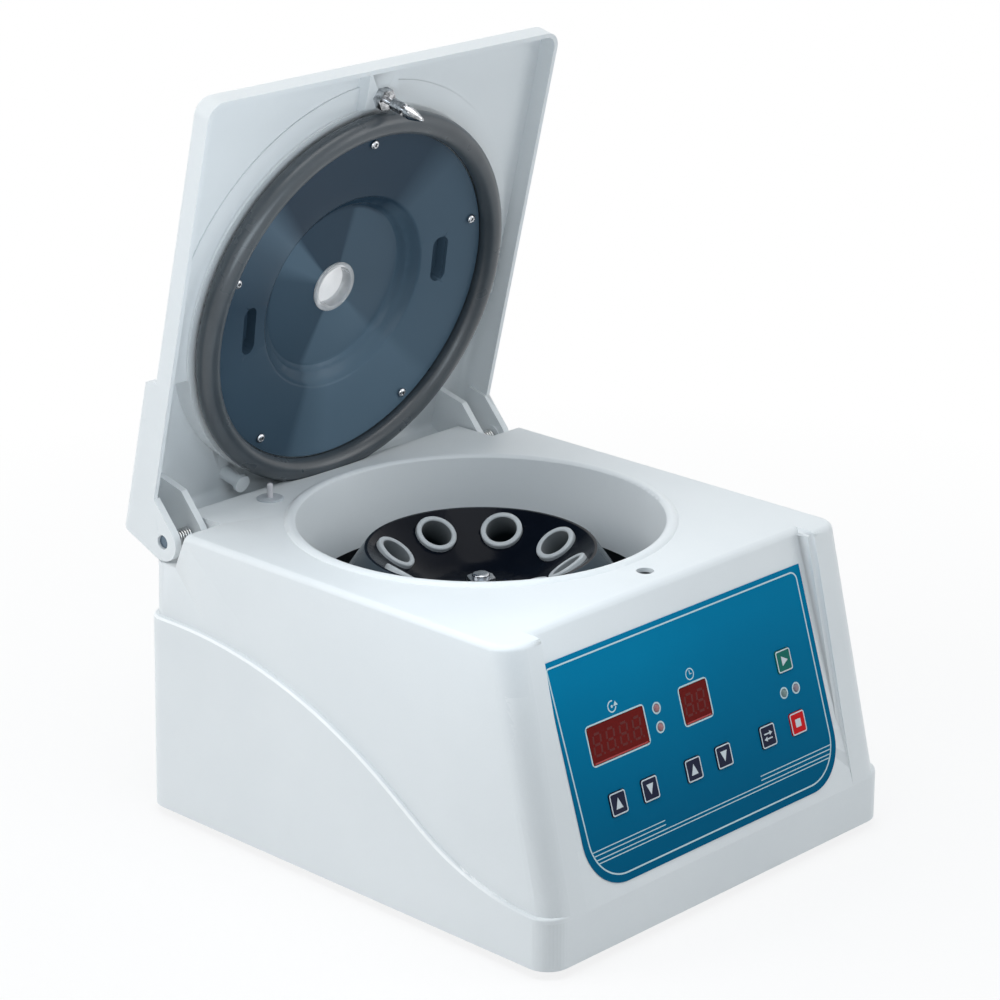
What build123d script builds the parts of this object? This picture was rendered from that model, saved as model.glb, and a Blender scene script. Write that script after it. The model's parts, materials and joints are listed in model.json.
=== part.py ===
from build123d import *

import math
import os

# Low-speed bench centrifuge with its lid held open, in millimetres.
# x runs to the right seen from the control panel, y to the rear, z up.
# The model is laid out from the middle of the plinth's underside and placed on its feet at the end.

# Housing, outside form
PLINTH_WIDTH = 322.0
SIDE_LEDGE = 3.3
SIDE_DRAFT = 1.7
UPPER_WIDTH_LOW = PLINTH_WIDTH - 2 * SIDE_LEDGE
DECK_WIDTH = UPPER_WIDTH_LOW - 2 * SIDE_DRAFT
PLINTH_FRONT_Y = -183.0
DECK_FRONT_Y = -143.5
PLINTH_REAR_Y = 183.0
DECK_REAR_Y = 177.3
DECK_Z = 196.0
CREASE_Z = 31.0
FRONT_CORNER_RADIUS = 16.0
DECK_EDGE_RADIUS = 4.5
HOUSING_WALL = 3.0

# Housing, the stepped ledge that runs down each side in an S
LEDGE_REAR_Z = 135.0
LEDGE_FRONT_Z = 34.0
LEDGE_BEND_Y = 148.8
LEDGE_SLOPE = 32.0
LEDGE_UPPER_RADIUS = 370.0
LEDGE_LOWER_RADIUS = 185.0
LEDGE_EDGE_RADIUS = 1.5

# Sunk control panel
PANEL_TOP_Y = -131.3
PANEL_HALF_WIDTH = 124.5
PANEL_MOUTH_RADIUS = 3.0
PANEL_ROLL_RADIUS = 6.0

# Feet and base plate
FOOT_HEIGHT = 6.0
FOOT_RADIUS = 12.0
FOOT_STEM_RADIUS = 4.0
FOOT_STEM_FIT = 0.1
FOOT_TAPER = 1.2
FOOT_HOLLOW_RADIUS = 3.5
FOOT_CATCH = 1.2
FOOT_CATCH_HEIGHT = 2.5
FOOT_INSET = 34.0
BASE_PLATE_THICKNESS = 2.0
BASE_PLATE_CLEARANCE = 0.4
SCREW_RADIUS = 2.0
SCREW_FIT = 0.05
SCREW_HEAD_RADIUS = 3.6
SCREW_HEAD_HEIGHT = 2.0
PAN_CROWN_SHARE = 0.6
CROSS_ARM_SHARE = 0.9
CROSS_WIDTH = 0.7
CROSS_DEPTH = 1.0
BASE_BOSS_RADIUS = 5.0
BASE_BOSS_HEIGHT = 22.0
BASE_BOSS_SINK = 1.0
BASE_SCREW_LENGTH = 12.0

# Bowl opening, throat and chamber
BOWL_Y = 29.5
BOWL_RADIUS = 120.0
LIP_WIDTH = 8.0
LIP_HEIGHT = 2.1
THROAT_FOOT_RADIUS = 112.0
THROAT_FOOT_Z = 147.0
CHAMBER_RADIUS = 114.0
CHAMBER_FLOOR_Z = 87.0
CHAMBER_FILLET = 20.0
CHAMBER_WALL = 1.5
CHAMBER_FLANGE_RADIUS = 124.0
BOOT_HOLE_RADIUS = 24.0

# Rotor and tube sleeves
SLEEVE_COUNT = 8
SLEEVE_FIRST_ANGLE = 30.5
SLEEVE_TILT = 35.0
SLEEVE_RIM_RADIUS = 56.4
SLEEVE_RIM_Z = 168.3
SLEEVE_FLANGE_RADIUS = 14.0
SLEEVE_FLANGE_THICKNESS = 3.5
SLEEVE_EDGE_RADIUS = 1.2
SLEEVE_OUTER_RADIUS = 11.5
SLEEVE_BORE_RADIUS = 10.4
SLEEVE_LENGTH = 75.0
SLEEVE_CLEARANCE = 0.3
ROTOR_RIM_RADIUS = 76.0
ROTOR_RIM_Z = 176.3
ROTOR_EDGE_RADIUS = 107.0
ROTOR_SKIRT_HEIGHT = 4.5
ROTOR_SKIRT_WALL = 4.0
ROTOR_DISH_WALL = 5.0
ROTOR_HUB_RADIUS = 24.0
ROTOR_HUB_TOP_Z = 147.0
ROTOR_HUB_FOOT_Z = 112.0
SHAFT_RADIUS = 6.0
SHAFT_SHOULDER_RADIUS = 9.0
SHAFT_FIT = 0.04
NUT_ACROSS_FLATS = 17.0
NUT_HEIGHT = 6.0
NUT_WASHER_RADIUS = 12.0
NUT_WASHER_HEIGHT = 2.0

# Motor on its plate and rubber mounts
MOTOR_RADIUS = 46.0
MOTOR_FLANGE_RADIUS = 54.0
MOTOR_FLANGE_HEIGHT = 5.0
MOTOR_TOP_Z = 74.0
MOTOR_PLATE_RADIUS = 74.0
MOTOR_PLATE_THICKNESS = 4.0
DAMPER_COUNT = 3
DAMPER_CIRCLE_RADIUS = 64.0
DAMPER_RADIUS = 8.0
DAMPER_HEIGHT = 14.0
MOTOR_SCREW_COUNT = 4
MOTOR_SCREW_CIRCLE_RADIUS = 50.0
MOTOR_SCREW_RADIUS = 2.5
MOTOR_PLATE_HOLE_RADIUS = 18.0
MOTOR_SHAFT_FOOT_Z = 40.0
MOTOR_CAP_HEIGHT = 10.0
MOTOR_GROOVE = 2.0
MOTOR_CHAMFER = 3.0
MOTOR_BOSS_HEIGHT = 4.0
MOTOR_BOSS_WALL = 5.0
MOTOR_SCREW_HEAD_RADIUS = 3.4
MOTOR_SCREW_HEAD_HEIGHT = 2.6
SHAFT_FOOT_GAP = 0.5
SHAFT_STAND = 2.5
DAMPER_STUD_RADIUS = 3.0
DAMPER_STUD_STAND = 2.0
DAMPER_CAP = 3.0
DAMPER_WAIST = 1.5
BOOT_CLEARANCE = 1.5
BOOT_FIT = 0.1
BOOT_BEAD = 3.0
BOOT_RISE = 6.0
PLATE_SLOT_COUNT = 5
PLATE_SLOT_PITCH = 9.0
PLATE_SLOT_LENGTH = 60.0
PLATE_SLOT_WIDTH = 4.0

# Hinge notches in the rear corners of the deck
LID_SIDE_INSET = 1.0
LID_HALF_WIDTH = DECK_WIDTH / 2 - LID_SIDE_INSET
NOTCH_WIDTH = 29.5
NOTCH_INNER_X = LID_HALF_WIDTH - NOTCH_WIDTH
NOTCH_FLOOR_Z = 171.5
NOTCH_TOP_Y = 141.0
NOTCH_FLOOR_Y = 151.5

# Lid hinge
HINGE_Y = 164.9
HINGE_Z = 185.1
LID_OPEN_ANGLE = 76.1
HINGE_BOSS_RADIUS = 12.8
HINGE_PIN_RADIUS = 3.0
HINGE_PIN_FIT = 0.05
PIN_HEAD_RADIUS = 4.5
PIN_HEAD_HEIGHT = 1.5
PIN_HEAD_RECESS = 3.0
PIN_HEAD_CLEARANCE = 0.3
PIN_GRIP = 12.0
EAR_CROOK_V = 25.0
OUTER_EAR_WALL = 5.0
OUTER_BOSS_LENGTH = 6.0
OUTER_BOSS_RADIUS = 8.0
INNER_EAR_GAP = 1.5
INNER_EAR_X = NOTCH_INNER_X + INNER_EAR_GAP
INNER_EAR_WALL = 5.0
SPRING_WIRE_RADIUS = 0.75
SPRING_COIL_RADIUS = 4.6
SPRING_PITCH = 2.05
SPRING_FULL_TURNS = 7
SPRING_FLOOR_ANGLE = 90.0
SPRING_LID_LEG = 13.0
SPRING_LEG_GAP = 0.3

# Lid shell, in the lid's own axes: v from the hinge to the front edge, w up when closed
LID_FRONT_V = 301.5
LID_REAR_V = -11.6
EAR_FOOT_W = 2.0
LID_REAR_LEAN = 0.16
LID_RIM_W = 13.6
LID_SLAB_TOP_W = 29.5
LID_STEP_V = 103.5
LID_STEP_SLOPE = 6.0
LID_RAISED_TOP_W = 41.0
LID_DOME_RADIUS = 108.0
LID_DOME_TOP_W = 42.0
LID_CORNER_RADIUS = 12.0
LID_EDGE_RADIUS = 5.0
LID_RAISED_EDGE_RADIUS = 8.0
LID_DOME_SLOPE = 4.0
LID_DOME_EDGE_RADIUS = 3.0
LID_WALL = 3.1
LAND_RADIUS = 150.0
LAND_HEIGHT = 1.2

# Lid seal and liner, about the bowl's middle
GASKET_RING_RADIUS = 125.6
GASKET_TUBE_RADIUS = 7.8
GASKET_W = 14.4
GASKET_SEAT_GAP = 0.3
SEAL_SCOOP_GAP = 0.5
LINER_RADIUS = 117.3
LINER_EDGE_W = 16.7
LINER_RING_RADIUS = 70.3
LINER_RING_W = 23.5
LINER_STEP_W = 29.2
LINER_FLOOR_RADIUS = 58.0
LINER_FLOOR_W = 34.6
LINER_WALL = 2.0
LINER_BEND = 4.0
LINER_SLANT = 0.6
WINDOW_RIM_RADIUS = 17.6
WINDOW_RIM_W = 32.6
WINDOW_PANE_RADIUS = 13.9
WINDOW_WALL = 1.4
WINDOW_EDGE = 0.5
WINDOW_CLEARANCE = 0.2
SLOT_RADIUS = 85.0
SLOT_TURN = 5.5
SLOT_LENGTH = 34.0
SLOT_WIDTH = 12.0
SLOT_DEPTH = 9.0
SLOT_WALL = 1.5
LINER_SCREW_COUNT = 5
LINER_SCREW_CIRCLE_RADIUS = 110.5
LINER_SCREW_FIRST_ANGLE = 19.0
LINER_BOSS_RADIUS = 4.5
LINER_BOSS_GAP = 0.2
LINER_SCREW_RADIUS = 1.5
LINER_SCREW_BITE = 5.0
LINER_SCREW_HEAD_RADIUS = 3.2
LINER_SCREW_HEAD_HEIGHT = 1.8
LINER_SCREW_SINK = 0.5
LINER_SCREW_STAND = 0.55
LINER_SCREW_HOLE_GAP = 0.3
SEAT_HALF_WIDTH = 9.0

# Latch pin on the lid
LATCH_V = 277.6
LATCH_BOSS_W = 20.0
LATCH_BOSS_WIDTH = 34.0
LATCH_BOSS_BACK = 11.0
LATCH_BOSS_DRAFT = 4.0
LATCH_THREAD_RADIUS = 2.3
LATCH_THREAD_LENGTH = 5.0
LATCH_COLLAR_RADIUS = 4.0
LATCH_COLLAR_TOP_W = 9.0
LATCH_COLLAR_FOOT_W = -1.0
LATCH_NECK_RADIUS = 2.3
LATCH_NECK_FOOT_W = -3.4
LATCH_HEAD_RADIUS = 4.2
LATCH_TIP_W = -18.8
LATCH_EDGE = 0.5
LATCH_NUT_ACROSS_FLATS = 13.0
LATCH_NUT_HEIGHT = 5.8
LATCH_HOLE_RADIUS = 5.6

# Latch under the deck
LATCH_PLATE_THICKNESS = 1.5
LATCH_TRAVEL = 4.0
LATCH_SLIDE_HALF_WIDTH = 9.0
LATCH_SLIDE_REACH = 14.0
LATCH_SLIDE_END = 20.0
LATCH_ROD_RADIUS = 2.0
LATCH_GUIDE_GAP = 0.1
LATCH_BRACKET_WALL = 1.5
LATCH_SPRING_WIRE = 0.4
LATCH_SPRING_TURNS = 5
LATCH_SPRING_GAP = 1.1
SPRING_SEAT_GAP = 0.2
KEYHOLE_GAP = 0.6
NECK_GAP = 0.35
ROD_REACH = 14.0
ROD_FIT = 0.1
SOLENOID_X = 32.0
SOLENOID_LENGTH = 28.0
SOLENOID_ROOF_GAP = 0.4

# Lid switch plunger
PLUNGER_X = -70.0
PLUNGER_Y = 155.0
PLUNGER_RADIUS = 2.0
PLUNGER_STAND = 10.8
PLUNGER_TRAVEL = 2.0
PLUNGER_GAP = 0.2
GROMMET_RADIUS = 9.0
GROMMET_HEIGHT = 1.2
GROMMET_STEM_RADIUS = 4.2
GROMMET_STEM_LENGTH = 7.0
GROMMET_FIT = 0.1
PLUNGER_FIT = 0.06
PLUNGER_COLLAR_RADIUS = 3.6
PLUNGER_COLLAR_HEIGHT = 1.5
PLUNGER_COLLAR_GAP = 0.1
PLUNGER_TIP = 0.8
PLUNGER_TAIL_STEP = 0.5
PLUNGER_REACH = 6.0
SWITCH_WIDTH = 20.0
SWITCH_DEPTH = 7.0
SWITCH_HEIGHT = 11.0
SWITCH_TOP_Z = 172.0
SWITCH_ARM = 3.0
PLUNGER_SPRING_WIRE = 0.35
PLUNGER_SPRING_TURNS = 6
POST_RADIUS = 4.5
POST_END_RADIUS = 6.0
POST_END_HEIGHT = 4.0
POST_ROOT_RADIUS = 5.0

# Panel overlay, measured on the panel: x from the middle, s down the slope from the deck line
OVERLAY_HALF_WIDTH = 119.5
OVERLAY_TOP_S = 21.8
OVERLAY_FOOT_S = 165.8
OVERLAY_CORNER_RADIUS = 31.0
OVERLAY_THICKNESS = 0.5
KEY_WIDTH = 14.2
KEY_HEIGHT = 14.4
KEY_CORNER_RADIUS = 1.8
KEY_STAND = 1.3
KEY_TRAVEL = 0.5
KEY_CLEARANCE = 0.35
DISPLAY_HEIGHT = 23.2
SPEED_DISPLAY_WIDTH = 50.3
TIME_DISPLAY_WIDTH = 24.8
DISPLAY_CLEARANCE = 0.3
LED_RADIUS = 2.5
LED_CLEARANCE = 0.2
BOARD_DEPTH = 10.0
BOARD_THICKNESS = 1.6
BOARD_POST_RADIUS = 3.5
BOARD_POST_X = 100.0
BOARD_POST_INSET = 6.0
BOARD_HALF_WIDTH = 108.0
BOARD_TOP_S = 46.0
BOARD_FOOT_S = 142.0
KEY_FLANGE = 1.4
KEY_SWITCH_HEIGHT = 3.6
KEY_SWITCH_WIDTH = 6.0
KEY_SWITCH_BUTTON_RADIUS = 1.7
KEY_SWITCH_BUTTON_HEIGHT = 0.8
KEY_FLANGE_THICKNESS = 1.2
KEY_FLANGE_GAP = 0.15
KEY_EDGE_RADIUS = 0.5
KEY_STEM_RADIUS = 2.5
KEY_SWITCH_GAP = 0.1
LED_STAND = 1.2
POWER_BOARD_WIDTH = 62.0
POWER_BOARD_DEPTH = 90.0
POWER_BOARD_SIDE = 15.0
POWER_BOARD_FRONT = 33.0
POWER_BOARD_STAND = 8.0
TRANSFORMER_WIDTH = 26.0
CAPACITOR_COUNT = 2
CAPACITOR_RADIUS = 7.0
CAPACITOR_PITCH = 18.0
FIN_COUNT = 5
FIN_PITCH = 7.0
FIN_THICKNESS = 2.0
FIN_LENGTH = 22.0
DISPLAY_STAND = 0.2

KEYS = {
    "key_start": (86.3, 77.0),
    "key_stop": (87.2, 118.5),
    "key_mode": (57.5, 118.4),
    "key_speed_up": (-83.7, 118.6),
    "key_speed_down": (-54.8, 118.6),
    "key_time_up": (-14.2, 118.6),
    "key_time_down": (14.5, 118.6),
}
DISPLAYS = {
    "display_speed": (-71.35, 79.95, SPEED_DISPLAY_WIDTH),
    "display_time": (0.4, 79.5, TIME_DISPLAY_WIDTH),
}
LEDS = [(-34.3, 73.3), (-34.3, 85.4), (80.8, 96.9), (92.7, 96.9)]

# Rear mains inlet with its fuse drawer and power rocker in one module
INLET_X = -104.0
INLET_Z = 58.0
INLET_WIDTH = 27.4
INLET_HEIGHT = 62.0
INLET_DEPTH = 30.0
INLET_FLANGE_WIDTH = 31.5
INLET_FLANGE_HEIGHT = 67.0
INLET_FLANGE_THICKNESS = 2.0
INLET_CLEARANCE = 0.3
SOCKET_WIDTH = 24.4
SOCKET_HEIGHT = 16.8
SOCKET_DEPTH = 16.0
SOCKET_DROP = 19.0
SOCKET_CUT = 5.0
SOCKET_CORNER_RADIUS = 1.5
INLET_CORNER_RADIUS = 3.0
INLET_EDGE_RADIUS = 0.8
BLADE_PITCH = 7.0
BLADE_THICKNESS = 2.0
BLADE_WIDTH = 4.0
BLADE_SINK = 3.0
EARTH_RISE = 3.0
DRAWER_WIDTH = 20.0
DRAWER_HEIGHT = 9.0
DRAWER_STAND = 1.1
DRAWER_RISE = 2.5
TAB_WIDTH = 8.0
ROCKER_LENGTH = 18.6
ROCKER_WIDTH = 12.6
ROCKER_CLEARANCE = 0.65
ROCKER_RISE = 20.0
ROCKER_THROW = 14.0
ROCKER_PIVOT_DEPTH = 3.0
ROCKER_HIGH = 4.6
ROCKER_LOW = 5.0
ROCKER_TAPER = 4.0
ROCKER_PIN_RADIUS = 1.3
ROCKER_PIN_REACH = 0.9
ROCKER_PIN_FIT = 0.05
ROCKER_WELL_DEPTH = 12.0

# Vents in the rear wall
VENT_X = 62.0
VENT_Z = 62.0
VENT_COUNT = 7
VENT_LENGTH = 60.0
VENT_WIDTH = 4.0
VENT_PITCH = 9.0

# Cutting bodies run this far past what they cut
PAST = 20.0
FAR = 60.0

# The whole stands on its feet, with the origin under the middle of its outline
ORIGIN_Y = 12.0


def yz_solid(half_width, *lines):
    """A side outline in y and z, extruded both ways along x."""
    with BuildPart() as part:
        with BuildSketch(Plane.YZ):
            with BuildLine():
                for line in lines:
                    add(line)
            make_face()
        extrude(amount=half_width, both=True)
    return part.part


def polygon_yz(half_width, *points):
    """A straight-sided outline in y and z, extruded both ways along x."""
    return yz_solid(half_width, Polyline(*points, close=True))


def turned(*points):
    """A closed outline of (radius, height) turned about z."""
    with BuildPart() as part:
        with BuildSketch(Plane.XZ):
            with BuildLine():
                Polyline(*points, close=True)
            make_face()
        revolve(axis=Axis.Z)
    return part.part


def cylinder(radius, low, high, x=0.0, y=0.0):
    """An upright cylinder from low to high."""
    body = Cylinder(radius, high - low, align=(Align.CENTER, Align.CENTER, Align.MIN))
    return Pos(x, y, low) * body


def block(x0, x1, y0, y1, z0, z1):
    """A box between two corners."""
    body = Box(x1 - x0, y1 - y0, z1 - z0, align=(Align.MIN, Align.MIN, Align.MIN))
    return Pos(x0, y0, z0) * body


def leaning_block(width_low, width_high, inset, foot_z, corner):
    """The housing's outer form, drawn in by inset, with its leaning front and back."""
    lean = (PLINTH_REAR_Y - DECK_REAR_Y) / DECK_Z
    sections = []
    for z, front in ((foot_z, PLINTH_FRONT_Y), (CREASE_Z, PLINTH_FRONT_Y), (DECK_Z - inset, None)):
        if front is None:
            rise = (z - CREASE_Z) / (DECK_Z - CREASE_Z)
            front = PLINTH_FRONT_Y + (DECK_FRONT_Y - PLINTH_FRONT_Y) * rise
        rear = PLINTH_REAR_Y - lean * z
        share = z / DECK_Z
        width = width_low + (width_high - width_low) * share - 2 * inset
        depth = rear - front - 2 * inset
        outline = RectangleRounded(width, depth, corner)
        sections.append(Pos(0, (rear + front) / 2, z) * outline)
    return loft(sections, ruled=True)


def ledge_region(drop):
    """Everything under the S of the side ledge, lowered by drop."""
    run = (LEDGE_UPPER_RADIUS + LEDGE_LOWER_RADIUS) * (1 - math.cos(math.radians(LEDGE_SLOPE)))
    straight = (LEDGE_REAR_Z - LEDGE_FRONT_Z - run) / math.sin(math.radians(LEDGE_SLOPE))
    far = PLINTH_REAR_Y + 20
    rear_z = LEDGE_REAR_Z - drop
    start = (LEDGE_BEND_Y, rear_z)
    top = Line((far, rear_z), start)
    upper = JernArc(start=start, tangent=(-1, 0), radius=LEDGE_UPPER_RADIUS, arc_size=LEDGE_SLOPE)
    slope = PolarLine(upper @ 1, straight, direction=upper % 1)
    lower = JernArc(start=slope @ 1, tangent=slope % 1, radius=LEDGE_LOWER_RADIUS, arc_size=-LEDGE_SLOPE)
    end = lower @ 1
    rest = Polyline((end.X, end.Y), (-far, end.Y), (-far, -20), (far, -20), (far, rear_z))
    return yz_solid(PLINTH_WIDTH, top, upper, slope, lower, rest)


def rounded_ledge(plinth):
    """Rounds the outer edge of the ledge along both sides."""
    side = PLINTH_WIDTH / 2 - 0.1
    edges = plinth.edges().filter_by(lambda edge: abs(edge.center().X) > side)
    edges = edges.filter_by(lambda edge: edge.center().Z > CREASE_Z + 1)
    edges = edges.filter_by(lambda edge: abs(edge.tangent_at(0.5).Z) < 0.8)
    return fillet(edges, LEDGE_EDGE_RADIUS)


def panel_plane(depth=0.0):
    """The panel's plane: x to the right, y up the slope, z out of the panel."""
    rise = DECK_Z - CREASE_Z
    run = PANEL_TOP_Y - PLINTH_FRONT_Y
    length = math.hypot(rise, run)
    normal = Vector(0, -rise / length, run / length)
    origin = Vector(0, PANEL_TOP_Y, DECK_Z) + normal * depth
    return Plane(origin=origin, x_dir=(1, 0, 0), z_dir=normal)


def on_panel(solid, x=0.0, s=0.0, depth=0.0):
    """Puts a solid drawn at the origin on the panel, z becoming the way out."""
    return panel_plane(depth).location * Pos(x, -s, 0) * solid


def mouth_prism(direction_plane, length):
    """A trough as wide as the panel whose mouth flares out by a quarter round."""
    half = PANEL_HALF_WIDTH
    radius = PANEL_MOUTH_RADIUS
    deep = FAR
    high = FAR
    with BuildPart() as part:
        with BuildSketch(direction_plane):
            with BuildLine():
                Line((-half, -deep), (half, -deep))
                Line((half, -deep), (half, -radius))
                RadiusArc((half, -radius), (half + radius, 0), -radius)
                Line((half + radius, 0), (half + radius, high))
                Line((half + radius, high), (-half - radius, high))
                Line((-half - radius, high), (-half - radius, 0))
                RadiusArc((-half - radius, 0), (-half, -radius), -radius)
                Line((-half, -radius), (-half, -deep))
            make_face()
        extrude(amount=length, both=True)
    return part.part


def panel_front_region(depth, roll):
    """Everything in front of the panel's plane and above the deck, rolled over where they meet."""
    plane = panel_plane(-depth)
    down = plane.y_dir * -(DECK_Z + FAR)
    top = Vector(plane.origin.Y, plane.origin.Z)
    foot = top + Vector(down.Y, down.Z)
    lean = math.degrees(math.atan2(PANEL_TOP_Y - PLINTH_FRONT_Y, DECK_Z - CREASE_Z))
    front = PLINTH_FRONT_Y - FAR
    up_z = DECK_Z + FAR
    if roll == 0:
        half = PANEL_HALF_WIDTH + depth
        corners = (foot.X, foot.Y), (top.X, top.Y), (top.X, up_z), (front, up_z), (front, foot.Y)
        return polygon_yz(half, *corners)
    reach = roll * math.tan(math.radians((90 - lean) / 2))
    low = top + Vector(down.Y, down.Z).normalized() * reach
    arc = TangentArc((low.X, low.Y), (top.X + reach, DECK_Z), tangent=(-down.Y, -down.Z))
    far_y = DECK_REAR_Y + FAR
    rest = Polyline(
        (top.X + reach, DECK_Z), (far_y, DECK_Z), (far_y, up_z), (front, up_z), (front, foot.Y),
        (foot.X, foot.Y),
    )
    return yz_solid(PANEL_HALF_WIDTH + PAST, Line((foot.X, foot.Y), (low.X, low.Y)), arc, rest)


def panel_cutter():
    """The sunk panel's cut, with rounded cheeks and a rounded roll over the deck's edge."""
    along = Vector(0, DECK_FRONT_Y - PLINTH_FRONT_Y, DECK_Z - CREASE_Z).normalized()
    cheek = Plane(origin=(0, PLINTH_FRONT_Y, CREASE_Z), x_dir=(-1, 0, 0), z_dir=along)
    deck = Plane(origin=(0, DECK_FRONT_Y, DECK_Z), x_dir=(1, 0, 0), z_dir=(0, -1, 0))
    trough = mouth_prism(cheek, DECK_Z + FAR) + mouth_prism(deck, FAR)
    return trough & panel_front_region(0.0, PANEL_ROLL_RADIUS)


def notch_cutter(side, grow=0.0):
    """The rear corner notch that the lid's ear turns in, grown by a wall where asked."""
    far_x = PLINTH_WIDTH
    far_y = PLINTH_REAR_Y + FAR
    slope_y = (NOTCH_FLOOR_Y - NOTCH_TOP_Y) / (DECK_Z - NOTCH_FLOOR_Z)
    back = grow * math.hypot(1, slope_y)
    floor_z = NOTCH_FLOOR_Z - grow
    up_z = DECK_Z + PAST
    foot_y = NOTCH_FLOOR_Y + slope_y * grow - back
    top_y = NOTCH_TOP_Y - slope_y * PAST - back
    shape = polygon_yz(far_x / 2, (foot_y, floor_z), (top_y, up_z), (far_y, up_z), (far_y, floor_z))
    keep = block(NOTCH_INNER_X - grow, far_x, -far_y, far_y, 0, up_z)
    if side < 0:
        keep = mirror(keep, about=Plane.YZ)
    return shape & keep


def seal_scoop(grow):
    """The shallow scoop in the deck's rear edge that the lid's seal swings down into."""
    ring = Torus(GASKET_RING_RADIUS, GASKET_TUBE_RADIUS + SEAL_SCOOP_GAP + grow)
    return on_lid(at_bowl(Pos(0, 0, GASKET_W) * ring) & low_part_of_lid())


def low_part_of_lid():
    """The part of the lid's space next to the hinge."""
    return lid_block(-FAR, FAR, -FAR, FAR, -PAST, FAR)


def throat():
    """The pale throat of the bowl with the rounded lip that the seal closes on."""
    wall = HOUSING_WALL
    top = DECK_Z + LIP_HEIGHT
    lip_end = BOWL_RADIUS + LIP_WIDTH
    with BuildPart() as part:
        with BuildSketch(Plane.XZ):
            with BuildLine():
                Line((THROAT_FOOT_RADIUS, THROAT_FOOT_Z), (BOWL_RADIUS, DECK_Z))
                ThreePointArc((BOWL_RADIUS, DECK_Z), (BOWL_RADIUS + LIP_WIDTH / 2, top), (lip_end, DECK_Z))
                Polyline(
                    (lip_end, DECK_Z), (lip_end, DECK_Z - wall), (BOWL_RADIUS + wall, DECK_Z - wall - 3),
                    (THROAT_FOOT_RADIUS + wall, THROAT_FOOT_Z), (THROAT_FOOT_RADIUS, THROAT_FOOT_Z),
                )
            make_face()
        revolve(axis=Axis.Z)
    return Pos(0, BOWL_Y, 0) * part.part


def base_boss_places():
    """Where the base plate is screwed up into the housing."""
    x = PLINTH_WIDTH / 2 - HOUSING_WALL - BASE_BOSS_RADIUS + BASE_BOSS_SINK
    front = PLINTH_FRONT_Y + FRONT_CORNER_RADIUS + BASE_BOSS_RADIUS
    rear = PLINTH_REAR_Y - FRONT_CORNER_RADIUS - BASE_BOSS_RADIUS
    return [(-x, front), (x, front), (-x, 0.0), (x, 0.0), (-x, rear), (x, rear)]


def board_post_places():
    """Where the control board is carried on posts behind the panel."""
    places = []
    for s in (BOARD_TOP_S + BOARD_POST_INSET, BOARD_FOOT_S - BOARD_POST_INSET):
        places += [(-BOARD_POST_X, s), (BOARD_POST_X, s)]
    return places


def panel_openings():
    """The cuts through the panel's wall and overlay for keys, displays and lamps."""
    cuts = []
    for x, s in KEYS.values():
        width = KEY_WIDTH + 2 * KEY_CLEARANCE
        height = KEY_HEIGHT + 2 * KEY_CLEARANCE
        cuts.append(Pos(x, -s, 0) * RectangleRounded(width, height, KEY_CORNER_RADIUS))
    for x, s, width in DISPLAYS.values():
        outline = Rectangle(width + 2 * DISPLAY_CLEARANCE, DISPLAY_HEIGHT + 2 * DISPLAY_CLEARANCE)
        cuts.append(Pos(x, -s, 0) * outline)
    for x, s in LEDS:
        cuts.append(Pos(x, -s, 0) * Circle(LED_RADIUS + LED_CLEARANCE))
    solids = [extrude(cut, amount=2 * HOUSING_WALL, both=True) for cut in cuts]
    return [panel_plane().location * solid for solid in solids]


def vent_cuts():
    """A stack of level slots with rounded ends in the rear wall."""
    cuts = []
    for index in range(VENT_COUNT):
        z = VENT_Z + (index - (VENT_COUNT - 1) / 2) * VENT_PITCH
        slot = extrude(SlotOverall(VENT_LENGTH, VENT_WIDTH), amount=PAST, both=True)
        cuts.append(Pos(VENT_X, PLINTH_REAR_Y, z) * Rot(90, 0, 0) * slot)
    return cuts


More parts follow.
